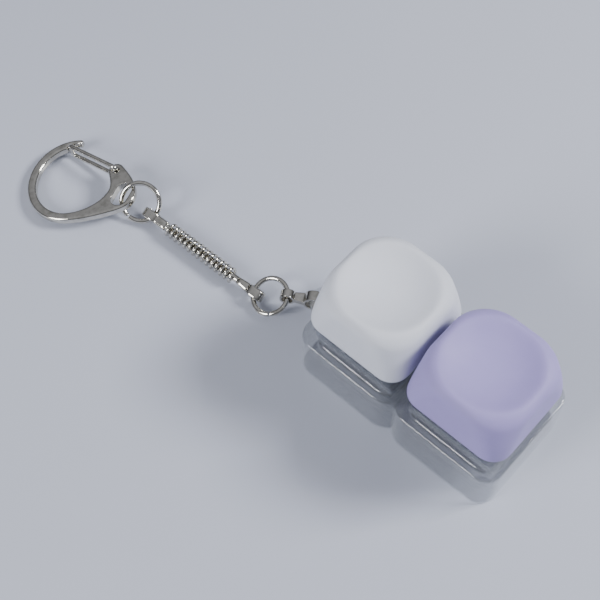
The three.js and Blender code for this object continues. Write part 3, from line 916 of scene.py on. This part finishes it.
@dataclass
class DishedCap:
    """A tall square keycap with a scooped top, round corners and a socket boss."""

    shop: Workshop
    key: str
    finish: MatteCap
    side: float = 18.4
    height: float = 8.7
    corner: float = 3.3
    top_corner: float = 7.4
    top_round: float = 1.8
    lip: float = 0.25
    taper: float = 0.95
    dish_radius: float = 14.8
    dish_depth: float = 2.0
    dish_blend: float = 0.45
    wall: float = 1.15
    hollow: float = 5.6
    boss_radius: float = 2.75
    boss_bottom: float = 1.7
    socket_top: float = 5.4
    around: int = 192

    def _directions(self) -> np.ndarray:
        """Unit vectors round the cap, one row each."""
        angles = np.linspace(0, math.tau, self.around, endpoint=False)
        return np.stack([np.cos(angles), np.sin(angles)], axis=1)

    def _flat_field(self, points: np.ndarray, side: np.ndarray | float,
                    corner: np.ndarray | float) -> np.ndarray:
        """Signed distance to a rounded square in plan."""
        half = np.asarray(side / 2 - corner)
        reach = np.abs(points[..., :2]) - half[..., None]
        outside = np.linalg.norm(np.maximum(reach, 0), axis=-1)
        return outside + np.minimum(reach.max(axis=-1), 0) - corner

    def _side_at(self, z: np.ndarray | float) -> np.ndarray:
        """Side of the tapered blank at a height."""
        return self.side * (1 + (self.taper - 1) * np.asarray(z) / self.height)

    def _corner_at(self, z: np.ndarray | float) -> np.ndarray:
        """Corner radius at a height; the corners open up towards the top."""
        share = np.clip(np.asarray(z) / self.height, 0, 1)
        return self.corner + (self.top_corner - self.corner) * share ** 1.6

    def _field(self, points: np.ndarray) -> np.ndarray:
        """Signed distance to the scooped cap, its rim softly blended."""
        height = points[..., 2]
        plan = self._flat_field(points, self._side_at(height), self._corner_at(height)) + self.top_round
        top = points[..., 2] - self.height + self.top_round
        outside = np.hypot(np.maximum(plan, 0), np.maximum(top, 0))
        blank = outside + np.minimum(np.maximum(plan, top), 0) - self.top_round
        centre = np.array([0, 0, self.height + self.dish_radius - self.dish_depth])
        scoop = self.dish_radius - np.linalg.norm(points - centre, axis=-1)
        blend = np.maximum(self.dish_blend - np.abs(blank - scoop), 0) ** 2 / (4 * self.dish_blend)
        return np.maximum(blank, scoop) + blend

    def _plan_ring(self, z: float, side: float, corner: float) -> np.ndarray:
        """Rounded square as a ring of points at a height."""
        directions = self._directions()
        low = np.zeros(self.around)
        high = np.full(self.around, side)
        for _ in range(30):
            middle = (low + high) / 2
            inside = self._flat_field(directions * middle[:, None], side, corner) < 0
            low = np.where(inside, middle, low)
            high = np.where(inside, high, middle)
        return level(directions * low[:, None], z)

    def _outer_rings(self) -> list[np.ndarray]:
        """Rings of the outer face, from the centre of the dish down to the lip."""
        origin = np.array([0.0, 0.0, 3.2])
        targets = []
        for share in np.linspace(0.02, 1.0, 46):
            rim = self._plan_ring(self.height, float(self._side_at(self.height)), self.top_corner)
            targets.append(rim * [share, share, 1])
        for z in np.linspace(self.height, self.lip, 16)[1:]:
            corner = float(self._corner_at(z))
            targets.append(self._plan_ring(z, float(self._side_at(z)), corner))
        rings = []
        for target in targets:
            ray = target - origin
            low = np.zeros(self.around)
            high = np.full(self.around, 1.6)
            for _ in range(36):
                middle = (low + high) / 2
                inside = self._field(origin + ray * middle[:, None]) < 0
                low = np.where(inside, middle, low)
                high = np.where(inside, high, middle)
            rings.append(origin + ray * low[:, None])
        return rings

    def _lip_rings(self) -> list[np.ndarray]:
        """Rings of the rounded lower edge, from outside to inside."""
        rings = []
        for degrees in (30, 60, 90):
            drop = self.lip * math.sin(math.radians(degrees))
            draw = self.lip * (1 - math.cos(math.radians(degrees)))
            rings.append(self._plan_ring(self.lip - drop, self.side - 2 * draw, self.corner - draw))
        inner = self.side - 2 * self.wall
        rings.append(self._plan_ring(0, inner + 0.2, 2.6))
        rings.append(self._plan_ring(0.1, inner, 2.5))
        return rings

    def _inner_rings(self) -> list[np.ndarray]:
        """Rings of the hollow, up its wall, across its ceiling and down the boss."""
        inner = self.side - 2 * self.wall
        bend = 1.6
        rings = []
        for z in np.linspace(1.2, self.hollow - bend, 4):
            rings.append(self._plan_ring(z, inner * float(self._side_at(z)) / self.side, 2.5))
        for degrees in (22, 45, 68, 90):
            rise = bend * math.sin(math.radians(degrees))
            draw = bend * (1 - math.cos(math.radians(degrees)))
            z = self.hollow - bend + rise
            side = inner * float(self._side_at(z)) / self.side - 2 * draw
            rings.append(self._plan_ring(z, side, max(2.5 - draw, 0.9)))
        circle = self._directions()
        for spread, drop in ((1.5, 0.0), (0.45, 0.0), (0.13, 0.13), (0.0, 0.45)):
            rings.append(level(circle * (self.boss_radius + spread), self.hollow - drop))
        for draw, rise in ((0.0, 0.2), (0.06, 0.06), (0.2, 0.0)):
            rings.append(level(circle * (self.boss_radius - draw), self.boss_bottom + rise))
        return rings

    def build(self) -> Shape:
        """Skins the cap and cuts the cross-shaped socket."""
        rings = self._outer_rings() + self._lip_rings() + self._inner_rings()
        top = (0.0, 0.0, self.height - self.dish_depth)
        body = Shape.loft([ring for ring in reversed(rings)], (0.0, 0.0, self.boss_bottom), top)
        for width, depth in ((4.2, 1.45), (1.45, 4.2)):
            body.cut(Shape.prism(rounded_rect(width, depth, 0.15, 3), 0.7, self.socket_top))
        low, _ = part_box(f"{self.key}_keycap")
        return body.moved(self.shop.middle(f"{self.key}_keycap").x, 0, low[2] / MM)

    def dress(self, shape: Shape) -> None:
        """Finishes the cap in its matte colour."""
        self.shop.finish(shape, f"{self.key}_cap", self.finish, f"{self.key}_key", f"cap_{self.key}",
                         [f"{self.key}_keycap"], level_faces=False)


@dataclass
class PushSwitch:
    """A snap-in push switch: lower tray, hood, stem, spring and contact blades."""

    shop: Workshop
    key: str
    tray: float = 13.8
    flange: float = 15.7
    tray_bottom: float = 3.2
    tray_floor: float = 4.2
    flange_bottom: float = 8.3
    flange_top: float = 9.3
    tray_hollow: float = 12.2
    hood_bottom: float = 9.4
    hood_top: float = 14.8
    hood_side: float = 14.9
    hood_taper: float = 0.77
    hollow_taper: float = 0.80
    window: tuple[float, float] = (7.6, 6.2)
    hood_hollow: float = 12.6
    hood_roof: float = 1.1
    lamp_slot: tuple[float, float, float] = (5.0, 1.5, -4.5)
    peg: tuple[float, float] = (2.0, 1.5)
    post: tuple[float, float, float] = (1.15, 0.85, 7.4)
    flange_nick: tuple[float, float, float] = (1.6, 0.8, 0.35)
    nick_places: tuple[tuple[float, float], ...] = ((-4.6, 7.3), (-4.6, -7.3), (4.6, 7.3), (4.6, -7.3))
    fixed_place: tuple[float, float] = (-2.8, 5.3)
    leaf_place: tuple[float, float] = (2.5, 4.5)
    stem_bottom: float = 8.4
    stem_shoulder: float = 14.5
    stem_top: float = 18.4
    spring_radius: float = 1.75
    spring_wire: float = 0.19
    spring_turns: float = 8.0

    def lower_tray(self) -> Shape:
        """Tray with a flange, latch wedges, a spring post, a centre peg and contact slots."""
        body = Shape.prism(rounded_rect(self.tray, self.tray, 0.7, 6), self.tray_bottom,
                           self.flange_bottom + 0.2, 0.15, 2)
        body.join(Shape.prism(rounded_rect(self.flange, self.flange, 0.8, 6),
                              self.flange_bottom, self.flange_top, 0.12, 2))
        peg_radius, peg_bottom = self.peg
        body.join(Shape.cylinder(peg_radius, peg_bottom, self.tray_bottom + 0.5, 0.3))
        for sign in (-1, 1):
            wedge = np.array([(0.0, 0.0), (0.45, 0.7), (0.45, 1.0), (0.0, 1.0)])
            latch = Shape.prism(wedge, -1.9, 1.9).placed(turned("X", 90)).placed(turned("Z", 90 * sign))
            body.join(latch.moved(0, sign * (self.tray / 2 - 0.02), 5.4))
        hollow = rounded_rect(self.tray_hollow, self.tray_hollow, 0.6, 4)
        body.cut(Shape.prism(hollow, self.tray_floor, self.flange_top + 2.7))
        width, depth, sunk = self.flange_nick
        outline = rounded_rect(width, depth, 0.2, 3)
        for place in self.nick_places:
            nick = Shape.prism(outline, self.flange_top - sunk, self.flange_top + 2.7)
            body.cut(nick.moved(*place))
        post_radius, post_tip, post_top = self.post
        body.join(Shape.cylinder(post_radius, self.tray_floor - 0.2, post_top, 0.15, 32, post_tip))
        for place in (self.fixed_place, self.leaf_place):
            slot = Shape.prism(rounded_rect(1.3, 0.9, 0.2, 3), 2.0, self.tray_floor + 0.8)
            body.cut(slot.moved(*place))
        return body

    def hood(self) -> Shape:
        """Tapered hood with a stem window, a lamp slot and side latch pads."""
        side, bottom, top = self.hood_side, self.hood_bottom, self.hood_top
        body = Shape.prism(rounded_rect(side, side, 1.2, 8), bottom, top, 0.3, 3, self.hood_taper)
        for sign in (-1, 1):
            pad = Shape.prism(rounded_rect(3.6, 0.9, 0.3, 4), bottom + 0.1, bottom + 2.1, 0.15, 2)
            body.join(pad.moved(0, sign * (side / 2 - 0.55)))
        inside = rounded_rect(self.hood_hollow, self.hood_hollow, 0.8, 5)
        body.cut(Shape.prism(inside, bottom - 1, top - self.hood_roof, 0, 1, self.hollow_taper))
        slot_width, slot_depth, slot_y = self.lamp_slot
        slot = Shape.prism(rounded_rect(slot_width, slot_depth, 0.4, 5), top - 0.6, top + 1)
        body.cut(slot.moved(0, slot_y))
        width, depth = self.window
        return body.cut(Shape.prism(rounded_rect(width, depth, 0.5, 5), top - 3, top + 1))

    def stem(self) -> Shape:
        """Slider with guide rails, a skirt, a cross on top and a spring bore."""
        body = Shape.prism(rounded_rect(6.9, 5.5, 0.5, 5), self.stem_bottom, self.stem_shoulder, 0.15, 2)
        body.join(Shape.prism(rounded_rect(9.0, 6.6, 0.6, 5), self.stem_bottom, 11.2, 0.15, 2))
        for width, depth in ((3.9, 1.15), (1.15, 3.9)):
            body.join(Shape.prism(rounded_rect(width, depth, 0.12, 3), self.stem_shoulder - 0.3,
                                  self.stem_top, 0.1, 2))
        for x in (-3.9, 3.9):
            body.cut(Shape.prism(rounded_rect(0.5, 2.6, 0.2, 3), self.stem_bottom - 1, 10.4).moved(x))
        return body.cut(Shape.cylinder(2.4, self.stem_bottom - 2, 12.6))

    def spring(self) -> Shape:
        """Return spring between the tray's floor and the stem's bore."""
        low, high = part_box(f"{self.key}_return_spring")
        bottom = low[2] / MM + self.spring_wire
        height = (high[2] - low[2]) / MM - 2 * self.spring_wire
        sizes = {"Coil Radius": self.spring_radius, "Height": height, "Turns": self.spring_turns,
                 "Steps": 40, "Wire Radius": self.spring_wire, "Sides": 12}
        coil = WireTree(PathKind.HELIX).wire(sizes, self.shop.material(SPRING_STEEL))
        return coil.moved(0, 0, bottom)

    def blade(self, x: float, y: float, plate: float, top: float) -> Shape:
        """Contact blade that narrows to a pin.

        Args:
            x: middle of the blade along x.
            y: its plane along y.
            plate: width of the wide part.
            top: height of the upper end.

        Returns:
            The blade, with a hole and pressed edges.
        """
        pin, wide, knee = 0.45, plate / 2, self.tray_floor
        outline = np.array([
            (-pin, 1.3), (pin, 1.3), (pin, knee + 0.35), (wide, knee + 0.9), (wide, top - 0.5),
            (wide - 0.5, top), (-wide + 0.5, top), (-wide, top - 0.5), (-wide, knee + 0.9),
            (-pin, knee + 0.35)])
        body = Shape.prism(outline, -0.15, 0.15, 0.04, 2)
        body.cut(Shape.cylinder(0.4, -1, 1, 0, 24).moved(0, top - 1.6))
        return body.placed(turned("X", 90)).moved(x, y)

    def build(self) -> dict[str, Shape]:
        """Makes the switch's pieces, named by what they stand for."""
        return {
            "lower_housing": self.lower_tray(), "upper_housing": self.hood(), "stem": self.stem(),
            "return_spring": self.spring(),
            "fixed_contact": self.blade(*self.fixed_place, 3.4, 9.0),
            "leaf_contact": self.blade(*self.leaf_place, 3.0, 8.2)}

    def dress(self, shapes: dict[str, Shape]) -> None:
        """Moves the pieces to their key and finishes them."""
        x = self.shop.middle(f"{self.key}_keycap").x
        looks = {
            "lower_housing": (CLEAR_HOUSING, "housing_clear"),
            "upper_housing": (CLEAR_HOUSING, "housing_clear"),
            "stem": (STEM_PLASTIC, "stem_plastic"),
            "return_spring": (SPRING_STEEL, "spring_steel"),
            "fixed_contact": (CONTACT_BRASS, "contact_copper"),
            "leaf_contact": (CONTACT_BRASS, "contact_copper")}
        for part, shape in shapes.items():
            finish, slot = looks[part]
            body = f"{self.key}_key" if part == "stem" else "base"
            name = f"{self.key}_switch_{part}"
            self.shop.finish(shape.moved(x), name, finish, body, slot, [f"{self.key}_{part}"],
                             level_faces=part != "return_spring")


@dataclass
class ConnectorTag:
    """Folded strip: a wide loop round the ear, a pinched waist and a small eye."""

    shop: Workshop
    loop_at: float = 2.1
    loop_bore: float = 1.35
    strip: float = 0.4
    loop_width: float = 1.9
    eye_bore: float = 0.9
    eye_outer: float = 1.3
    eye_width: float = 1.5
    waist_half: float = 0.5
    cutter: float = 4.0
    cell: float = 0.075
    smoothing: int = 4

    def build(self) -> Shape:
        """Joins loop, waist and eye, cuts the bores and softens the pressed strip."""
        start = self.shop.anchor("tag_swivel")
        heading = self.shop.anchor("base_ring_swing") - start
        reach = heading.length

        def lying(radius: float, width: float, x: float) -> Shape:
            """Cylinder across the tag at a distance along it."""
            return Shape.cylinder(radius, -width / 2, width / 2, 0, 56).placed(turned("X", 90)).moved(x)

        body = lying(self.loop_bore + self.strip, self.loop_width, self.loop_at)
        body.join(lying(self.eye_outer, self.eye_width, reach))
        x0 = self.loop_at + self.loop_bore + 0.1
        x1 = reach - self.eye_bore - 0.15
        half0, half1 = self.loop_width / 2, self.eye_width / 2
        waist = np.array([(x0, -half0), (x1, -half1), (x1, half1), (x0, half0)])
        body.join(Shape.prism(waist, -self.waist_half, self.waist_half))
        body.cut(lying(self.loop_bore, self.cutter, self.loop_at))
        body.cut(lying(self.eye_bore, self.cutter, reach))
        body.cast(self.cell, self.smoothing)
        side_hint = Vector((heading.y, -heading.x, 0))
        return body.placed(frame_matrix(start, heading, side_hint))

    def dress(self, shape: Shape) -> None:
        """Finishes the tag in nickel plate."""
        self.shop.finish(shape, "strip_tag", NICKEL, "tag", "chain_plate", ["connector_tag"])


@dataclass
class JumpRing:
    """A split ring of round wire."""

    shop: Workshop
    node: str
    body: str
    normal: Vector
    split: Vector
    radius: float
    wire: float
    gap_degrees: float = 5.0

    def build(self) -> Shape:
        """Bends the ring with its cut facing the given side."""
        sizes = {"Ring Radius": self.radius, "Gap Angle": math.radians(self.gap_degrees),
                 "Steps": 120, "Wire Radius": self.wire, "Sides": 20}
        ring = WireTree(PathKind.ARC).wire(sizes, self.shop.material(NICKEL))
        normal = self.normal.normalized()
        across = self.split - normal * self.split.dot(normal)
        return ring.placed(frame_matrix(self.shop.middle(self.node), across, normal.cross(across)))

    def dress(self, shape: Shape) -> None:
        """Rounds the cut ends a little and finishes the ring in nickel plate."""
        shape.bevel(0.05, 2, 60)
        self.shop.finish(shape, f"split_{self.node}", NICKEL, self.body, "chain_plate", [self.node])


@dataclass
class CoilLink:
    """The link between the rings: rod, squared ends with slotted eyes, and a coil sleeve."""

    shop: Workshop
    eye_outer: float = 1.3
    eye_bore: float = 0.96
    eye_reach: float = 0.8
    near_widths: tuple[float, float] = (1.7, 1.7)
    base_widths: tuple[float, float] = (1.8, 1.3)
    bar_height: float = 1.7
    bar_edge: float = 0.5
    eye_edge: float = 0.25
    bar_from: float = 0.6
    bar_length: float = 3.3
    rod: float = 0.62
    coil_from: float = 3.5
    coil_length: float = 15.5
    coil_radius: float = 1.12
    coil_wire: float = 0.25
    coil_turns: float = 14.5
    cell: float = 0.085
    smoothing: int = 11

    def _place(self) -> tuple[Matrix, float]:
        """Matrix of the link and the distance between its eyes."""
        start = self.shop.anchor("clasp_ring_swing")
        along = self.shop.anchor("link_swing") - start
        return frame_matrix(start, along, self.shop.axis("link_swing")), along.length

    def _end(self, x: float, side: int, widths: tuple[float, float]) -> Shape:
        """One flared bar with its slotted eye.

        Args:
            x: place of the eye along the link.
            side: 1 where the bar follows the eye, -1 where it comes before it.
            widths: width of the eye and width of the bar beside the coil.

        Returns:
            The end piece.
        """
        eye, neck = widths
        far = x - side * self.eye_reach
        low, high = min(x, far), max(x, far)
        hull = np.concatenate([
            arc(high, 0, self.eye_outer, -90, 90, 25), arc(low, 0, self.eye_outer, 90, 270, 25)])
        slot = np.concatenate([
            arc(high, 0, self.eye_bore, -90, 90, 19), arc(low, 0, self.eye_bore, 90, 270, 19)])
        near, end = side * self.bar_from, side * self.bar_length
        flare = np.array([(near, -eye / 2), (end, -neck / 2), (end, neck / 2), (near, eye / 2)])
        if side < 0:
            flare = flare[::-1]
        bar = Shape.prism(flare, -self.bar_height / 2, self.bar_height / 2, self.bar_edge, 5).moved(x)
        body = Shape.prism(hull, -eye / 2, eye / 2, self.eye_edge, 3).placed(turned("X", 90)).join(bar)
        return body.cut(Shape.prism(slot, -3, 3).placed(turned("X", 90)))

    def build(self) -> tuple[Shape, Shape]:
        """Makes the core and the coil."""
        matrix, length = self._place()
        core = Shape.cylinder(self.rod, 2.0, length - 2.0, 0, 28).placed(turned("Y", 90))
        core.join(self._end(0, 1, self.near_widths), self._end(length, -1, self.base_widths))
        core.cast(self.cell, self.smoothing)
        sizes = {"Coil Radius": self.coil_radius, "Height": self.coil_length - 2 * self.coil_wire,
                 "Turns": self.coil_turns, "Steps": 36, "Wire Radius": self.coil_wire, "Sides": 14}
        coil = WireTree(PathKind.HELIX).wire(sizes, self.shop.material(NICKEL))
        coil.placed(turned("Y", 90)).moved(self.coil_from + self.coil_wire)
        return core.placed(matrix), coil.placed(matrix)

    def dress(self, shapes: tuple[Shape, Shape]) -> None:
        """Finishes core and coil in nickel plate."""
        core, coil = shapes
        self.shop.finish(core, "link_rod", NICKEL, "link", "chain_plate", ["link_core"])
        self.shop.finish(coil, "link_coil_sleeve", NICKEL, "link", "chain_plate", ["link_coil"],
                         level_faces=False)


@dataclass
class SnapClasp:
    """A cast D-shaped hook with a thin web, and the sprung wire gate that closes it."""

    shop: Workshop
    loop_centre: tuple[float, float] = (10.4, -3.2)
    loop_radii: tuple[float, float] = (7.3, 7.9)
    half_width: float = 0.8
    step_degrees: float = -70.0
    nose_degrees: float = -93.0
    nose_width: float = 1.0
    half_thickness: float = 0.75
    edge: float = 0.42
    slot: tuple[float, float, float, float, float] = (0.7, 0.2, 4.7, 2.8, 70.5)
    pivot: tuple[float, float] = (2.6, -5.05)
    pivot_hole: float = 0.6
    pivot_ear: float = 1.45
    gate_end: tuple[float, float] = (11.9, -10.0)
    gate_wire: float = 0.42
    gate_half_span: float = 1.3
    gate_tuck: float = 0.35
    gate_bend: float = 0.55
    cell: float = 0.1
    smoothing: int = 6

    def _place(self) -> Matrix:
        """Matrix of the clasp: x towards the bend, y away from the gate, z through its thickness."""
        through = self.shop.axis("gate_pivot")
        away = UP.cross(through).normalized()
        along = away.cross(through)
        origin = self.shop.anchor("clasp_swing") - along * self.slot[0] - away * self.slot[1]
        return frame_matrix(origin, along, away)

    def _bow(self, start: float, end: float, grow: float, count: int) -> np.ndarray:
        """Points round the bend between two angles, the radii grown by a distance."""
        angles = np.radians(np.linspace(start, end, count))
        u = self.loop_centre[0] + (self.loop_radii[0] + grow) * np.cos(angles)
        v = self.loop_centre[1] + (self.loop_radii[1] + grow) * np.sin(angles)
        return np.stack([u, v], axis=1)

    def _outline(self) -> np.ndarray:
        """Outline of the hook: bend, arm, web, pivot ear and the stepped nose."""
        u, top = self.loop_centre[0], self.loop_centre[1] + self.loop_radii[1]
        half = self.half_width
        ear = arc(*self.pivot, self.pivot_ear, 215, 368, 31)
        return without_doubles(np.concatenate([
            self._bow(self.nose_degrees, 90, half, 80),
            cubic([(u, top + half), (8.2, top + half), (5.5, 4.9), (2.4, 3.9)], 24),
            cubic([(2.4, 3.9), (-0.2, 3.1), (-1.8, 2.0), (-1.8, 0.0)], 16),
            cubic([(-1.8, 0.0), (-1.8, -1.9), (-0.4, -4.0), ear[0]], 18),
            ear,
            cubic([ear[-1], (3.8, -4.0), (3.15, -2.7), (3.2, -1.4)], 14),
            cubic([(3.2, -1.4), (3.3, 0.9), (6.6, 3.7), (u, top - half)], 28),
            self._bow(90, self.step_degrees, -half, 70),
            self._bow(self.step_degrees - 5, self.nose_degrees, half - self.nose_width, 14)]))

    def build(self) -> tuple[Shape, Shape]:
        """Makes the cast body and the wire gate."""
        body = Shape.prism(self._outline(), -self.half_thickness, self.half_thickness, self.edge, 4)
        u, v, length, width, turn = self.slot
        hole = Shape.prism(rounded_rect(length, width, width / 2 - 0.01, 12), -3, 3)
        body.cut(hole.placed(turned("Z", turn)).moved(u, v))
        body.cut(Shape.cylinder(self.pivot_hole, -3, 3, 0, 32).moved(*self.pivot))
        body.cast(self.cell, self.smoothing)
        (pu, pv), (eu, ev) = self.pivot, self.gate_end
        span, tuck = self.gate_half_span, self.gate_tuck
        path = [(pu, pv, tuck), (pu, pv, span), (eu, ev, span),
                (eu, ev, -span), (pu, pv, -span), (pu, pv, -tuck)]
        sizes = {"Bend Radius": self.gate_bend, "Wire Radius": self.gate_wire, "Sides": 24}
        gate = WireTree(PathKind.POLYLINE).wire(sizes, self.shop.material(NICKEL), path)
        matrix = self._place()
        return body.placed(matrix), gate.placed(matrix)

    def dress(self, shapes: tuple[Shape, Shape]) -> None:
        """Finishes body and gate in nickel plate."""
        body, gate = shapes
        self.shop.finish(body, "cast_hook", NICKEL, "clasp", "chain_plate", ["clasp_body"],
                         level_faces=False)
        self.shop.finish(gate, "wire_gate", NICKEL, "gate", "chain_plate", ["clasp_gate"],
                         level_faces=False)


# ---------------------------------------------------------------------- studio
@dataclass(frozen=True)
class SoftLight:
    """A large area light aimed at the object.

    Attributes:
        name: the light's name.
        azimuth: where it stands, in degrees from +X towards +Y.
        elevation: its height above the table in degrees.
        distance: distance from the target in millimetres.
        size: side of the light in millimetres.
        power: power in watts.
        colour: colour of the light.
    """

    name: str
    azimuth: float
    elevation: float
    distance: float
    size: float
    power: float
    colour: tuple[float, float, float] = (1.0, 1.0, 1.0)

    def build(self, target: Vector) -> None:
        """Places the light."""
        lamp = bpy.data.lights.new(self.name, "AREA")
        lamp.shape = "SQUARE"
        lamp.size = self.size * MM
        lamp.energy = self.power
        lamp.color = self.colour
        holder = bpy.data.objects.new(self.name, lamp)
        a, e = math.radians(self.azimuth), math.radians(self.elevation)
        away = Vector((math.cos(a) * math.cos(e), math.sin(a) * math.cos(e), math.sin(e)))
        holder.location = (target + away * self.distance) * MM
        holder.rotation_euler = away.to_track_quat("Z", "Y").to_euler()
        bpy.context.scene.collection.objects.link(holder)


@dataclass
class Studio:
    """Pale table, soft lights and the camera."""

    target: Vector = field(default_factory=lambda: Vector((-26.3, -1.2, 0.0)))
    azimuth: float = 41.8
    elevation: float = 60.3
    distance: float = 201.1
    lens: float = 71.7
    table_size: float = 2400.0
    world_low: tuple[float, float, float] = (0.025, 0.026, 0.03)
    world_high: tuple[float, float, float] = (0.46, 0.47, 0.51)
    world_strength: float = 1.0
    lights: tuple[SoftLight, ...] = (
        SoftLight("window_light", 46, 40, 520, 150, 3.4, (0.98, 0.99, 1.0)),
        SoftLight("fill_light", -106, 32, 560, 220, 2.6, (0.97, 0.98, 1.0)))

    def build_camera(self) -> None:
        """Places the camera at its viewing angle."""
        data = bpy.data.cameras.new("camera")
        data.lens = self.lens
        data.sensor_width = 36.0
        data.clip_start = 0.005
        data.clip_end = 20.0
        camera = bpy.data.objects.new("camera", data)
        a, e = math.radians(self.azimuth), math.radians(self.elevation)
        back = Vector((math.sin(a) * math.cos(e), -math.cos(a) * math.cos(e), math.sin(e)))
        camera.location = (self.target + back * self.distance) * MM
        camera.rotation_euler = back.to_track_quat("Z", "Y").to_euler()
        bpy.context.scene.collection.objects.link(camera)
        bpy.context.scene.camera = camera

    def build_world(self) -> None:
        """Makes soft room light, darker near the horizon."""
        world = bpy.data.worlds.new("room")
        world.use_nodes = True
        bpy.context.scene.world = world
        nodes = NodeBuilder(world.node_tree)
        world.node_tree.nodes.clear()
        direction = nodes.add("ShaderNodeTexCoord").outputs["Generated"]
        split = nodes.add("ShaderNodeSeparateXYZ", {}, {0: direction})
        height = Value(nodes, split.outputs["Z"]).ramp(0.12, 0.95)
        mixed = nodes.add("ShaderNodeMix", {"data_type": "RGBA"}, {
            "Factor_Float": height,
            "A_Color": (*self.world_low, 1.0),
            "B_Color": (*self.world_high, 1.0)})
        glow = nodes.add("ShaderNodeBackground", {}, {
            "Color": socket_of(mixed.outputs, "Result_Color"), "Strength": self.world_strength})
        nodes.add("ShaderNodeOutputWorld", {}, {"Surface": glow.outputs[0]})

    def build_table(self, finish: TableTop) -> None:
        """Lays the table under the object."""
        half = self.table_size / 2 * MM
        mesh = bpy.data.meshes.new("table")
        mesh.from_pydata([(-half, -half, 0), (half, -half, 0), (half, half, 0), (-half, half, 0)],
                         [], [(0, 1, 2, 3)])
        mesh.materials.append(finish.material())
        table = bpy.data.objects.new("table", mesh)
        bpy.context.scene.collection.objects.link(table)

    def build(self) -> None:
        """Builds camera, room, table and lights."""
        self.build_camera()
        self.build_world()
        self.build_table(TableTop("pale_table"))
        for light in self.lights:
            light.build(self.target)


def main() -> None:
    """Builds and dresses every piece."""
    logging.basicConfig(level=logging.INFO, format="%(name)s: %(message)s")
    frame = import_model()
    shop = Workshop(frame)
    Studio().build()
    parts: list[Any] = [ClearBase(shop)]
    for key, cap in (("pale", PALE_CAP), ("lilac", LILAC_CAP)):
        parts += [DishedCap(shop, key, cap), PushSwitch(shop, key)]
    base_ring = JumpRing(shop, "base_ring", "ring_at_base", Vector((-0.10, -0.40, 0.91)),
                         Vector((0.55, -0.83, 0)), 3.1, 0.43)
    clasp_ring = JumpRing(shop, "clasp_ring", "ring_at_clasp", Vector((0.3805, -0.596, 0.707)),
                          Vector((0.1, -1, 0)), 3.35, 0.45)
    parts += [ConnectorTag(shop), base_ring, CoilLink(shop), clasp_ring, SnapClasp(shop)]
    for part in parts:
        part.dress(part.build())
        log.info("%s is done", type(part).__name__)


if __name__ == "__main__":
    main()
